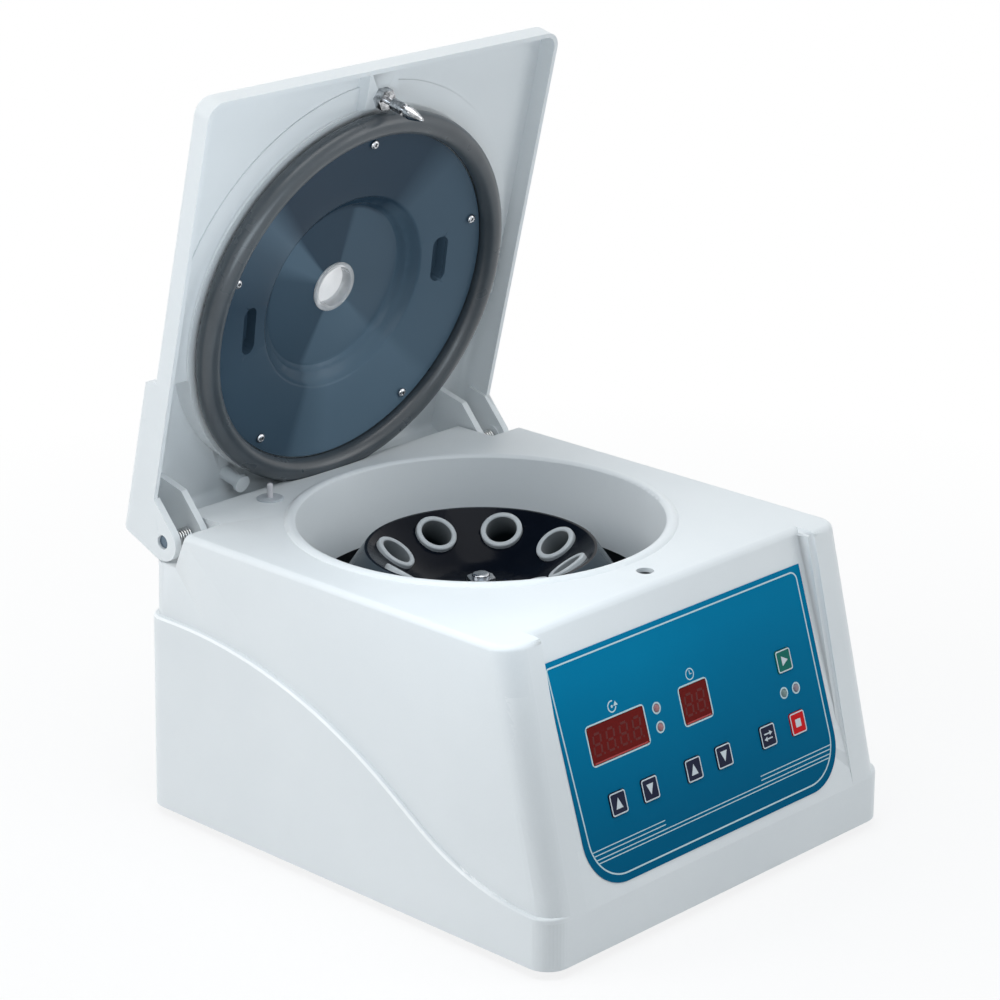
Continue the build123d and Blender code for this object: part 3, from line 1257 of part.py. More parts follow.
def make_window():
    """The clear viewing window: a cup with a rim on the liner and its pane flush with the lid's top."""
    outer = window_outer_radius()
    rim_w = WINDOW_RIM_W
    pane_w = LID_DOME_TOP_W - WINDOW_WALL
    pane = WINDOW_PANE_RADIUS
    rim = WINDOW_RIM_RADIUS
    edge = WINDOW_EDGE
    window = turned(
        (0, pane_w), (pane, pane_w), (pane + edge / 2, rim_w + edge), (pane + 3 * edge / 2, rim_w),
        (rim - edge, rim_w), (rim, rim_w + edge), (rim, rim_w + WINDOW_WALL), (outer, rim_w + WINDOW_WALL),
        (outer, LID_DOME_TOP_W), (0, LID_DOME_TOP_W),
    )
    return on_lid(at_bowl(window))


def make_latch_pin():
    """The chromed latch pin: thread, collar, neck and bullet head."""
    head = LATCH_HEAD_RADIUS
    foot = LATCH_NECK_FOOT_W
    end = LATCH_BOSS_W + LATCH_THREAD_LENGTH
    thread = LATCH_THREAD_RADIUS
    collar = LATCH_COLLAR_RADIUS
    collar_top = LATCH_COLLAR_TOP_W
    edge = LATCH_EDGE
    taper = (foot + LATCH_TIP_W) / 2 - edge
    tip = LATCH_TIP_W
    pin = turned(
        (0, end), (thread, end), (thread, collar_top),
        (collar - edge, collar_top), (collar, collar_top - edge),
        (collar, LATCH_COLLAR_FOOT_W), (LATCH_NECK_RADIUS, LATCH_COLLAR_FOOT_W), (LATCH_NECK_RADIUS, foot),
        (head - edge, foot), (head, foot - edge), (head, (foot + taper) / 2), (3 * head / 4, taper),
        (head / 3, tip + 2 * edge), (head / 6, tip), (0, tip),
    )
    return on_lid(Pos(0, -LATCH_V, 0) * pin)


def make_latch_nut():
    """The hexagon nut that locks the latch pin to its boss."""
    nut = Rot(180, 0, 0) * hex_nut(LATCH_NUT_ACROSS_FLATS, LATCH_NUT_HEIGHT, LATCH_THREAD_RADIUS + SHAFT_FIT)
    return on_lid(Pos(0, -LATCH_V, LATCH_BOSS_W) * nut)


def make_hinge_pin(side):
    """A headed pin through both ears into the housing."""
    head_x = LID_HALF_WIDTH - PIN_HEAD_RECESS
    length = head_x - NOTCH_INNER_X + PIN_GRIP
    pin = turned(
        (0, 0), (PIN_HEAD_RADIUS - 0.5, 0), (PIN_HEAD_RADIUS, 0.5), (PIN_HEAD_RADIUS, PIN_HEAD_HEIGHT),
        (HINGE_PIN_RADIUS, PIN_HEAD_HEIGHT), (HINGE_PIN_RADIUS, length), (0, length),
    )
    turn = -90 if side > 0 else 90
    return Pos(side * (head_x + PIN_HEAD_HEIGHT), HINGE_Y, HINGE_Z) * Rot(0, turn, 0) * pin


def biarc(start, start_way, end, end_way):
    """Two arcs from one point and direction to another, smooth where they meet."""
    chord = end - start
    ways = start_way + end_way
    bend = 2 * (1 - start_way.dot(end_way))
    along = chord.dot(ways)
    reach = (-along + math.sqrt(along * along + bend * chord.dot(chord))) / bend
    first = start + start_way * reach
    last = end - end_way * reach
    middle = (first + last) * 0.5
    return [
        Edge.make_tangent_arc(start, start_way, middle),
        Edge.make_tangent_arc(middle, (last - first).normalized(), end),
    ]


def coil_gap(radius, pitch, turns, wire):
    """The least gap between turns of a coil, measured on points one turn and more apart."""
    steps = 72
    points = []
    for index in range(int(turns * steps) + 1):
        angle = 2 * math.pi * index / steps
        points.append(Vector(radius * math.cos(angle), radius * math.sin(angle), pitch * index / steps))
    least = min(
        (points[i] - points[j]).length
        for i in range(0, len(points), 6)
        for j in range(i + steps // 2, len(points))
    )
    return least - 2 * wire


def coil(radius, pitch, turns, wire, first_leg, last_leg, first_angle=0.0):
    """A spring wound about z from z = 0 up, with ends square to z, as one unbroken round wire."""
    lead = pitch / (2 * math.pi)

    def point(angle):
        return Vector(radius * math.cos(angle), radius * math.sin(angle), lead * (angle - first))

    def way(angle, rise):
        return Vector(-radius * math.sin(angle), radius * math.cos(angle), rise).normalized()

    first = math.radians(first_angle)
    pieces = math.ceil(turns * 4)
    step = 2 * math.pi * turns / pieces
    start = point(first) - way(first, 0) * first_leg
    edges = [Edge.make_line(start, point(first))]
    for index in range(pieces):
        low = first + index * step
        high = low + step
        low_rise = 0 if index == 0 else lead
        high_rise = 0 if index == pieces - 1 else lead
        edges += biarc(point(low), way(low, low_rise), point(high), way(high, high_rise))
    last = first + pieces * step
    edges.append(Edge.make_line(point(last), point(last) + way(last, 0) * last_leg))
    path = Wire(edges)
    section = Plane(origin=start, z_dir=way(first, 0)) * Circle(wire)
    print("coil turns", turns, "least gap", round(coil_gap(radius, pitch, turns, wire), 2))
    return sweep(section, path=path)


def make_torsion_spring(side):
    """The spring round the hinge pin, one leg down on the notch floor and one along the lid's rear wall."""
    floor_leg = HINGE_Z - NOTCH_FLOOR_Z - SPRING_WIRE_RADIUS - SPRING_LEG_GAP
    turns = SPRING_FULL_TURNS - LID_OPEN_ANGLE / 360
    wire = SPRING_WIRE_RADIUS
    spring = coil(
        SPRING_COIL_RADIUS, SPRING_PITCH, turns, wire, floor_leg, SPRING_LID_LEG, SPRING_FLOOR_ANGLE
    )
    length = SPRING_PITCH * turns
    room_low = INNER_EAR_X + INNER_EAR_WALL
    room_high = LID_HALF_WIDTH - OUTER_BOSS_LENGTH
    start_x = (room_low + room_high - length) / 2
    placed = Pos(start_x, HINGE_Y, HINGE_Z) * Rot(0, 90, 0) * spring
    if side < 0:
        placed = mirror(placed, about=Plane.YZ)
    return placed


def latch_z():
    """Underside and top of the sliding latch plate, in the middle of the pin's neck when closed."""
    middle = HINGE_Z + (LATCH_COLLAR_FOOT_W + LATCH_NECK_FOOT_W) / 2
    return middle - LATCH_PLATE_THICKNESS / 2, middle + LATCH_PLATE_THICKNESS / 2


def latch_y():
    """Where the latch pin comes down."""
    return HINGE_Y - LATCH_V


def make_latch_slide():
    """The latch plate with its keyhole, and the rod that the solenoid pulls."""
    low, high = latch_z()
    y = latch_y()
    half = LATCH_SLIDE_HALF_WIDTH
    plate = block(-LATCH_SLIDE_REACH, LATCH_SLIDE_END, y - half, y + half, low, high)
    eye = cylinder(LATCH_HEAD_RADIUS + KEYHOLE_GAP, low - 1, high + 1, 0, y)
    slot_half = LATCH_NECK_RADIUS + NECK_GAP
    slot = block(-LATCH_TRAVEL, 0, y - slot_half, y + slot_half, low - 1, high + 1)
    slot_end = cylinder(slot_half, low - 1, high + 1, -LATCH_TRAVEL, y)
    rod_x = LATCH_SLIDE_END - 1
    rod_length = SOLENOID_X + ROD_REACH - rod_x
    rod = Rot(0, 90, 0) * Cylinder(LATCH_ROD_RADIUS, rod_length)
    rod = Pos(rod_x + rod_length / 2, y, (low + high) / 2) * rod
    return plate + rod - [eye, slot, slot_end]


def make_latch_bracket():
    """The bent tray under the deck that guides the latch plate."""
    low, high = latch_z()
    y = latch_y()
    half = LATCH_SLIDE_HALF_WIDTH + LATCH_GUIDE_GAP
    wall = LATCH_BRACKET_WALL
    roof = DECK_Z - HOUSING_WALL
    start_x = -LATCH_SLIDE_REACH - wall
    end_x = SOLENOID_X + SOLENOID_LENGTH
    tray_high = low - LATCH_GUIDE_GAP
    tray_low = tray_high - wall
    tray = block(start_x, end_x, y - half - wall, y + half + wall, tray_low, tray_high)
    front = block(start_x, end_x, y - half - wall, y - half, tray_low, roof)
    rear = block(start_x, end_x, y + half, y + half + wall, tray_low, roof)
    pin_hole = cylinder(LATCH_HEAD_RADIUS + wall, tray_low - 1, tray_high + 1, 0, y)
    slot_half = latch_coil_radius() + 2 * LATCH_SPRING_WIRE + 1
    slot_low = LATCH_SLIDE_END - LATCH_TRAVEL
    slot_high = SOLENOID_X + ROD_REACH + LATCH_TRAVEL + 2
    spring_slot = block(slot_low, slot_high, y - slot_half, y + slot_half, tray_low - 1, tray_high + 1)
    return tray + front + rear - [pin_hole, spring_slot]


def latch_coil_radius():
    """The latch spring's middle radius round the rod."""
    return LATCH_ROD_RADIUS + LATCH_SPRING_GAP + LATCH_SPRING_WIRE


def make_solenoid():
    """The latch solenoid in its tray, with the bore for the slide's rod."""
    low, high = latch_z()
    y = latch_y()
    half = LATCH_SLIDE_HALF_WIDTH
    tray_high = low - LATCH_GUIDE_GAP
    roof = DECK_Z - HOUSING_WALL - SOLENOID_ROOF_GAP
    body = block(SOLENOID_X, SOLENOID_X + SOLENOID_LENGTH, y - half, y + half, tray_high, roof)
    deep = ROD_REACH + LATCH_TRAVEL + 2
    bore = Rot(0, 90, 0) * Cylinder(LATCH_ROD_RADIUS + ROD_FIT, 2 * deep)
    return body - Pos(SOLENOID_X, y, (low + high) / 2) * bore


def make_latch_spring():
    """The coil spring that pushes the latch plate back."""
    low, high = latch_z()
    room = SOLENOID_X - LATCH_SLIDE_END
    wire = LATCH_SPRING_WIRE
    length = room - 2 * (wire + SPRING_SEAT_GAP)
    pitch = length / LATCH_SPRING_TURNS
    spring = coil(latch_coil_radius(), pitch, LATCH_SPRING_TURNS, wire, 2 * wire, 2 * wire)
    place = Pos(LATCH_SLIDE_END + wire + SPRING_SEAT_GAP, latch_y(), (low + high) / 2) * Rot(0, 90, 0)
    return place * spring


def collar_top_z():
    """The top of the plunger's collar, just under the grommet's stem."""
    return DECK_Z + GROMMET_HEIGHT - GROMMET_STEM_LENGTH - PLUNGER_COLLAR_GAP


def make_plunger():
    """The lid switch's plunger with its collar under the grommet."""
    top = DECK_Z + PLUNGER_STAND
    high = collar_top_z()
    low = high - PLUNGER_COLLAR_HEIGHT
    radius = PLUNGER_RADIUS
    tail = radius - PLUNGER_TAIL_STEP
    foot = SWITCH_TOP_Z - PLUNGER_REACH
    plunger = turned(
        (0, foot), (tail, foot), (tail, low), (PLUNGER_COLLAR_RADIUS, low), (PLUNGER_COLLAR_RADIUS, high),
        (radius, high), (radius, top - PLUNGER_TIP), (radius - PLUNGER_TIP, top), (0, top),
    )
    return Pos(PLUNGER_X, PLUNGER_Y, 0) * plunger


def make_grommet():
    """The round guide pressed into the deck round the plunger."""
    low = DECK_Z + GROMMET_HEIGHT - GROMMET_STEM_LENGTH
    bore = PLUNGER_RADIUS + PLUNGER_FIT
    grommet = turned(
        (bore, low), (GROMMET_STEM_RADIUS, low), (GROMMET_STEM_RADIUS, DECK_Z), (GROMMET_RADIUS, DECK_Z),
        (GROMMET_RADIUS, DECK_Z + GROMMET_HEIGHT / 2), (GROMMET_RADIUS - 1, DECK_Z + GROMMET_HEIGHT),
        (bore, DECK_Z + GROMMET_HEIGHT),
    )
    return Pos(PLUNGER_X, PLUNGER_Y, 0) * grommet


def make_plunger_spring():
    """The coil spring under the plunger's collar."""
    wire = PLUNGER_SPRING_WIRE
    foot = SWITCH_TOP_Z + wire + SPRING_SEAT_GAP
    length = collar_top_z() - PLUNGER_COLLAR_HEIGHT - wire - SPRING_SEAT_GAP - foot
    pitch = length / PLUNGER_SPRING_TURNS
    radius = PLUNGER_COLLAR_RADIUS - wire - PLUNGER_COLLAR_GAP
    spring = coil(radius, pitch, PLUNGER_SPRING_TURNS, wire, 2 * wire, 2 * wire)
    return Pos(PLUNGER_X, PLUNGER_Y, foot) * spring


def make_lid_switch():
    """The lid switch hung from the deck on two arms."""
    x = PLUNGER_X
    y = PLUNGER_Y
    half = SWITCH_WIDTH / 2
    deep = SWITCH_DEPTH / 2
    roof = DECK_Z - HOUSING_WALL
    foot = SWITCH_TOP_Z - SWITCH_HEIGHT
    body = block(x - half, x + half, y - deep, y + deep, foot, SWITCH_TOP_Z)
    left = block(x - half, x - half + SWITCH_ARM, y - deep, y + deep, foot, roof)
    right = block(x + half - SWITCH_ARM, x + half, y - deep, y + deep, foot, roof)
    well_low = SWITCH_TOP_Z - PLUNGER_REACH - PLUNGER_TRAVEL - PLUNGER_TAIL_STEP
    well = cylinder(PLUNGER_RADIUS, well_low, SWITCH_TOP_Z + 1, x, y)
    return body + left + right - well


def make_overlay():
    """The thin control panel overlay with its openings."""
    half = OVERLAY_HALF_WIDTH
    top = -OVERLAY_TOP_S
    foot = -OVERLAY_FOOT_S
    corner = OVERLAY_CORNER_RADIUS
    with BuildSketch() as sketch:
        with BuildLine():
            Polyline((-half, foot + corner), (-half, top), (half, top), (half, foot + corner))
            RadiusArc((half, foot + corner), (half - corner, foot), corner)
            Line((half - corner, foot), (-half + corner, foot))
            RadiusArc((-half + corner, foot), (-half, foot + corner), corner)
        make_face()
    sheet = panel_plane().location * extrude(sketch.sketch, amount=OVERLAY_THICKNESS)
    return sheet - panel_openings()


def make_key(x, s):
    """A key cap with the flange that holds it behind the panel and the stem on its switch."""
    flange_top = -HOUSING_WALL - KEY_FLANGE_GAP
    flange_low = flange_top - KEY_FLANGE_THICKNESS
    cap = extrude(RectangleRounded(KEY_WIDTH, KEY_HEIGHT, KEY_CORNER_RADIUS), amount=KEY_STAND - flange_low)
    cap = rounded_top(Pos(0, 0, flange_low) * cap, KEY_EDGE_RADIUS)
    flange = RectangleRounded(KEY_WIDTH + 2 * KEY_FLANGE, KEY_HEIGHT + 2 * KEY_FLANGE, KEY_CORNER_RADIUS)
    flange = Pos(0, 0, flange_low) * extrude(flange, amount=KEY_FLANGE_THICKNESS)
    foot = -BOARD_DEPTH + KEY_SWITCH_HEIGHT + KEY_TRAVEL + KEY_SWITCH_GAP
    stem = cylinder(KEY_STEM_RADIUS, foot, flange_top)
    return on_panel(cap + flange + stem, x, s)


def make_display(x, s, width):
    """A digit display block from the board out to the panel's face."""
    low = -BOARD_DEPTH
    high = OVERLAY_THICKNESS + DISPLAY_STAND
    body = Pos(0, 0, low) * extrude(Rectangle(width, DISPLAY_HEIGHT), amount=high - low)
    return on_panel(body, x, s)


def make_leds():
    """The four indicator lamps on their stems."""
    top = OVERLAY_THICKNESS + LED_STAND
    lamp = turned(
        (0, -BOARD_DEPTH), (LED_RADIUS, -BOARD_DEPTH), (LED_RADIUS, top - LED_RADIUS / 2),
        (0.8 * LED_RADIUS, top - LED_RADIUS / 6), (0.4 * LED_RADIUS, top), (0, top),
    )
    return Compound([on_panel(lamp, x, s) for x, s in LEDS])


def make_control_board():
    """The control board on its posts, with a small switch behind each key."""
    width = 2 * BOARD_HALF_WIDTH
    height = BOARD_FOOT_S - BOARD_TOP_S
    middle = (BOARD_FOOT_S + BOARD_TOP_S) / 2
    low = -BOARD_DEPTH - BOARD_THICKNESS
    board = Pos(0, -middle, low) * extrude(Rectangle(width, height), amount=BOARD_THICKNESS)
    case_height = KEY_SWITCH_HEIGHT - KEY_SWITCH_BUTTON_HEIGHT
    base = extrude(Rectangle(KEY_SWITCH_WIDTH, KEY_SWITCH_WIDTH), amount=case_height)
    button = cylinder(KEY_SWITCH_BUTTON_RADIUS, case_height, KEY_SWITCH_HEIGHT)
    switch = Pos(0, 0, -BOARD_DEPTH) * (base + button)
    for x, s in KEYS.values():
        board = board + Pos(x, -s, 0) * switch
    return panel_plane().location * board


def make_power_board():
    """The power board on its feet: board, heat sink with fins, transformer and capacitors."""
    x1 = PLINTH_WIDTH / 2 - POWER_BOARD_SIDE
    x0 = x1 - POWER_BOARD_WIDTH
    y0 = PLINTH_FRONT_Y + POWER_BOARD_FRONT
    y1 = y0 + POWER_BOARD_DEPTH
    low = BASE_PLATE_THICKNESS + POWER_BOARD_STAND
    top = low + BOARD_THICKNESS
    board = block(x0, x1, y0, y1, low, top)
    inset = BOARD_POST_INSET
    for x in (x0 + inset, x1 - inset):
        for y in (y0 + inset, y1 - inset):
            board = board + cylinder(BOARD_POST_RADIUS, BASE_PLATE_THICKNESS, low, x, y)
    side = TRANSFORMER_WIDTH
    left, front = x0 + inset, y0 + 2 * inset
    board = board + block(left, left + side, front, front + side, top, top + side)
    for index in range(CAPACITOR_COUNT):
        y = y0 + 3 * inset + CAPACITOR_PITCH * index
        board = board + cylinder(CAPACITOR_RADIUS, top, top + side, x1 - 3 * inset, y)
    for index in range(FIN_COUNT):
        x = x0 + 2 * inset + FIN_PITCH * index
        board = board + block(x, x + FIN_THICKNESS, y1 - FIN_LENGTH - inset, y1 - inset, top, top + side)
    return board


def make_inlet():
    """The rear module: mains socket with its blades, fuse drawer and the rocker's well."""
    face = INLET_FLANGE_THICKNESS
    body = block(*span(INLET_WIDTH), *span(INLET_HEIGHT), -INLET_DEPTH, face)
    flange = RectangleRounded(INLET_FLANGE_WIDTH, INLET_FLANGE_HEIGHT, INLET_CORNER_RADIUS)
    module = body + rounded_top(extrude(flange, amount=face), INLET_EDGE_RADIUS)
    socket = socket_outline()
    socket = Pos(0, -SOCKET_DROP, face - SOCKET_DEPTH) * extrude(socket, amount=SOCKET_DEPTH + 1)
    well_length = ROCKER_LENGTH + 2 * ROCKER_CLEARANCE
    well_width = ROCKER_WIDTH + 2 * INLET_CLEARANCE
    well = block(*span(well_length), *span(well_width), face - ROCKER_WELL_DEPTH, face + 1)
    hole = rocker_pin(ROCKER_PIN_RADIUS + ROCKER_PIN_FIT, ROCKER_PIN_REACH + ROCKER_PIN_FIT)
    module = module - [socket, Pos(0, ROCKER_RISE, 0) * well, hole]
    blade = block(*span(BLADE_THICKNESS), *span(BLADE_WIDTH), face - SOCKET_DEPTH - 1, face - BLADE_SINK)
    for x, y in ((-BLADE_PITCH, 0.0), (0.0, EARTH_RISE), (BLADE_PITCH, 0.0)):
        module = module + Pos(x, y - SOCKET_DROP, 0) * blade
    drawer = block(*span(DRAWER_WIDTH), *span(DRAWER_HEIGHT), face - 1, face + DRAWER_STAND)
    tab = block(*span(TAB_WIDTH), *span(DRAWER_STAND), face, face + 2 * DRAWER_STAND)
    return on_rear(module + Pos(0, DRAWER_RISE, 0) * (drawer + tab))


def socket_outline():
    """The mains socket's outline, two corners cut off at its top."""
    half = SOCKET_WIDTH / 2
    high = SOCKET_HEIGHT / 2
    cut = SOCKET_CUT
    outline = Polygon(
        (-half, -high), (half, -high), (half, high - cut), (half - cut, high), (cut - half, high),
        (-half, high - cut), align=None,
    )
    return fillet(outline.vertices(), SOCKET_CORNER_RADIUS)


def rocker_pin(radius, reach):
    """A pin along the rocker's pivot that reaches into both sides of its well."""
    length = ROCKER_WIDTH + 2 * INLET_CLEARANCE + 2 * reach
    pivot = INLET_FLANGE_THICKNESS - ROCKER_PIVOT_DEPTH
    return Pos(0, ROCKER_RISE, pivot) * Rot(90, 0, 0) * Cylinder(radius, length)


def make_rocker():
    """The power rocker on its pivot pin, resting on its off side."""
    half = ROCKER_LENGTH / 2
    foot = half - ROCKER_TAPER
    pivot = INLET_FLANGE_THICKNESS - ROCKER_PIVOT_DEPTH
    with BuildSketch(Plane.XZ) as sketch:
        with BuildLine():
            Polyline(
                (-half, ROCKER_HIGH), (0, ROCKER_HIGH - 1), (half, ROCKER_HIGH),
                (half, 0), (foot, -ROCKER_LOW),
                (-foot, -ROCKER_LOW), (-half, 0), close=True
            )
        make_face()
    body = extrude(sketch.sketch, amount=ROCKER_WIDTH / 2, both=True)
    turned_body = Rot(0, -ROCKER_THROW / 2, 0) * body
    return on_rear(Pos(0, ROCKER_RISE, pivot) * turned_body + rocker_pin(ROCKER_PIN_RADIUS, ROCKER_PIN_REACH))


def place_on_feet(solid):
    """Stands the model on its feet over its origin."""
    return Pos(0, -ORIGIN_Y, FOOT_HEIGHT) * solid


def save(name, solid):
    """Writes one named piece."""
    export_step(place_on_feet(solid), os.path.join("parts", name + ".step"))


def main():
    """Builds every piece and writes it."""
    os.makedirs("parts", exist_ok=True)
    save("housing_shell", make_housing())
    save("base_plate", make_base_plate())
    save("base_screws", make_base_screws())
    for index, (x, y) in enumerate(foot_places()):
        save(f"foot_{index + 1}", make_foot(x, y))
    save("chamber_bowl", make_chamber())
    save("shaft_boot", make_boot())
    for index, (x, y) in enumerate(damper_places()):
        save(f"damper_{index + 1}", make_damper(x, y))
    save("motor_plate", make_motor_plate())
    save("motor_body", make_motor())
    save("motor_screws", make_motor_screws())
    save("motor_shaft", make_shaft())
    save("rotor_body", make_rotor())
    for index in range(SLEEVE_COUNT):
        save(f"tube_sleeve_{index + 1}", make_sleeve(index))
    save("rotor_nut", make_rotor_nut())
    save("lid_shell", make_lid_shell())
    save("lid_liner", make_liner())
    save("liner_screws", make_liner_screws())
    save("lid_gasket", make_gasket())
    save("viewing_window", make_window())
    save("latch_pin", make_latch_pin())
    save("latch_pin_nut", make_latch_nut())
    for name, side in (("left", -1), ("right", 1)):
        save("hinge_pin_" + name, make_hinge_pin(side))
        save("torsion_spring_" + name, make_torsion_spring(side))
    save("latch_bracket", make_latch_bracket())
    save("latch_slide", make_latch_slide())
    save("latch_solenoid", make_solenoid())
    save("latch_spring", make_latch_spring())
    save("switch_plunger", make_plunger())
    save("plunger_grommet", make_grommet())
    save("plunger_spring", make_plunger_spring())
    save("lid_switch", make_lid_switch())
    save("panel_overlay", make_overlay())
    for name, (x, s) in KEYS.items():
        save(name, make_key(x, s))
    for name, (x, s, width) in DISPLAYS.items():
        save(name, make_display(x, s, width))
    save("panel_leds", make_leds())
    save("control_board", make_control_board())
    save("power_board", make_power_board())
    save("mains_inlet", make_inlet())
    save("power_rocker", make_rocker())


main()
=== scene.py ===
# %% [markdown]
# ## A bench centrifuge, dressed over its CAD frame
# The frame is the imported model: every rigid piece at its real size and place, grouped on the bodies that
# move. This file gives each piece the finish of its real material, with painted reflection, highlight and
# shade on a few, and adds the thin printed and pressed details that a solid model doesn't carry. Lengths are
# written in millimetres and turned to metres where a mesh is made.

# %% Load the frame
import json
import math

import bmesh
import bpy
from mathutils import Matrix, Vector


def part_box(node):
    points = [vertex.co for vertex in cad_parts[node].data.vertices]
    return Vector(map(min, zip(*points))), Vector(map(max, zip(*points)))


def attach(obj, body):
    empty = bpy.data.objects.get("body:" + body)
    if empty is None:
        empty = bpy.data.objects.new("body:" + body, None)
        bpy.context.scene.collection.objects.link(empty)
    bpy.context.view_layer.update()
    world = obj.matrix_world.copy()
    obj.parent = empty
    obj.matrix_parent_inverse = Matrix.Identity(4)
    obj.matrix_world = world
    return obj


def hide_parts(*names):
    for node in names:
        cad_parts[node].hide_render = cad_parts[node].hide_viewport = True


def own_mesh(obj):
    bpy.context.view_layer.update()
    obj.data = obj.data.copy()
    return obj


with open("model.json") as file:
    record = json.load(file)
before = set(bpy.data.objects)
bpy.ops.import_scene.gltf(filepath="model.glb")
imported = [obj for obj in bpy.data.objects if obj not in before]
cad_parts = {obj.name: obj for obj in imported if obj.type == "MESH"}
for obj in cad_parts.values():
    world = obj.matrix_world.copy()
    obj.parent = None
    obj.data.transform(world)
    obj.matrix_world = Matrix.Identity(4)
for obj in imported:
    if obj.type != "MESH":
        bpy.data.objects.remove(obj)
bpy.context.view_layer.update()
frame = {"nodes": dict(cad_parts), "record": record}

nodes = frame["nodes"]
record = frame["record"]
body_of_node = {node: body for body, members in record["behaviour"]["bodies"].items() for node in members}
slot_of_node = {part["node"]: part["material_slot"] for part in record["subparts"]}

# %% [markdown]
# ## Two working frames
# The panel is printed on a slope, and the lid stands open. Drawing a flat thing directly on a slope means a
# lot of sines, so each such surface gets a matrix instead: its x runs across, its y up the surface, its z
# out of it. The matrix also turns millimetres to metres, so every drawing below is in millimetres.

# %% Working frames
MM = Matrix.Scale(0.001, 4)
LID_ANGLE = math.radians(76.1)
PANEL_LEAN = math.atan2(51.7, 165.0)


def working_frame(origin, across, up):
    """A matrix from millimetres on a surface to metres in the row."""
    out = Vector(across).cross(Vector(up))
    turn = Matrix((across, up, out)).transposed().to_4x4()
    return MM @ Matrix.Translation(origin) @ turn


PANEL_TOP = (0, -143.3, 202.0)
HINGE = (0, 152.9, 191.1)
PANEL = working_frame(PANEL_TOP, (1, 0, 0), (0, math.sin(PANEL_LEAN), math.cos(PANEL_LEAN)))
LID = working_frame(HINGE, (1, 0, 0), (0, math.cos(LID_ANGLE), -math.sin(LID_ANGLE)))
BOWL_V = 135.4  # from the hinge to the middle of the liner, on the lid
ROTOR_CENTRE = Vector((0, 0.0175, 0))  # in metres, as Object coordinates are
ROTOR_RIM = 0.0760


def highest(node, place):
    """How far a node stands out along a working frame's z, in millimetres."""
    back = place.inverted()
    return max((back @ vertex.co).z for vertex in nodes[node].data.vertices)


overlay_top = highest("panel_overlay", PANEL)
print("overlay stands", round(overlay_top, 3), "mm over the panel")

# %% [markdown]
# ## Shared surface effects
# A moulded, rolled or printed surface is never one even colour. Three effects come back in most of the
# finishes, so each is a node group, built once: a slow drift of tone, a fine grain for the height, and
# rings left by a lathe. A group hands on only values and colours, and the shader stays in the material,
# where its own sockets can be set.

# %% Node groups
def new_group(name, inputs, outputs):
    """An empty shader group with its sockets, its way in and its way out."""
    group = bpy.data.node_groups.new(name, "ShaderNodeTree")
    for label, kind, value in inputs:
        socket = group.interface.new_socket(name=label, in_out="INPUT", socket_type=kind)
        if value is not None:
            socket.default_value = value
    for label, kind in outputs:
        group.interface.new_socket(name=label, in_out="OUTPUT", socket_type=kind)
    way_in = group.nodes.new("NodeGroupInput")
    way_out = group.nodes.new("NodeGroupOutput")
    return group, way_in, way_out


def join(tree, source, target):
    tree.links.new(source, target)


def noise(tree, vector, scale, detail=3.0, roughness=0.5):
    """A noise texture in a tree, read at a vector."""
    node = tree.nodes.new("ShaderNodeTexNoise")
    node.inputs["Detail"].default_value = detail
    node.inputs["Roughness"].default_value = roughness
    if isinstance(scale, (int, float)):
        node.inputs["Scale"].default_value = scale
    else:
        join(tree, scale, node.inputs["Scale"])
    join(tree, vector, node.inputs["Vector"])
    return node.outputs["Fac"]


def spread(tree, value, low, high, to_low, to_high):
    """Maps a value from one span to another."""
    node = tree.nodes.new("ShaderNodeMapRange")
    node.inputs["From Min"].default_value = low
    node.inputs["From Max"].default_value = high
    for label, end in (("To Min", to_low), ("To Max", to_high)):
        if isinstance(end, (int, float)):
            node.inputs[label].default_value = end
        else:
            join(tree, end, node.inputs[label])
    join(tree, value, node.inputs["Value"])
    return node.outputs["Result"]


def mix_colour(tree, factor, first, second):
    """Mixes two colours by a factor; a colour may be a socket or three numbers."""
    node = tree.nodes.new("ShaderNodeMix")
    node.data_type = "RGBA"
    factor_socket, first_socket, second_socket = node.inputs[0], node.inputs[6], node.inputs[7]
    for socket, value in ((factor_socket, factor), (first_socket, first), (second_socket, second)):
        if isinstance(value, bpy.types.NodeSocket):
            join(tree, value, socket)
        elif isinstance(value, (int, float)):
            socket.default_value = value
        else:
            socket.default_value = (*value[:3], 1.0)
    return node.outputs[2]


def build_tone_drift():
    """Colour that drifts slowly between two near tones, with a little fine mottle."""
    group, way_in, way_out = new_group(
        "tone drift",
        [("Vector", "NodeSocketVector", None), ("Light", "NodeSocketColor", None),
         ("Dark", "NodeSocketColor", None), ("Size", "NodeSocketFloat", 14.0)],
        [("Color", "NodeSocketColor")],
    )
    slow = noise(group, way_in.outputs["Vector"], way_in.outputs["Size"], 4.0, 0.55)
    fine = noise(group, way_in.outputs["Vector"], 900.0, 2.0)
    both = group.nodes.new("ShaderNodeMath")
    both.operation = "MULTIPLY_ADD"
    both.inputs[1].default_value = 0.25
    join(group, fine, both.inputs[0])
    join(group, slow, both.inputs[2])
    mask = spread(group, both.outputs[0], 0.42, 0.82, 0.0, 1.0)
    colour = mix_colour(group, mask, way_in.outputs["Light"], way_in.outputs["Dark"])
    join(group, colour, way_out.inputs["Color"])
    return group


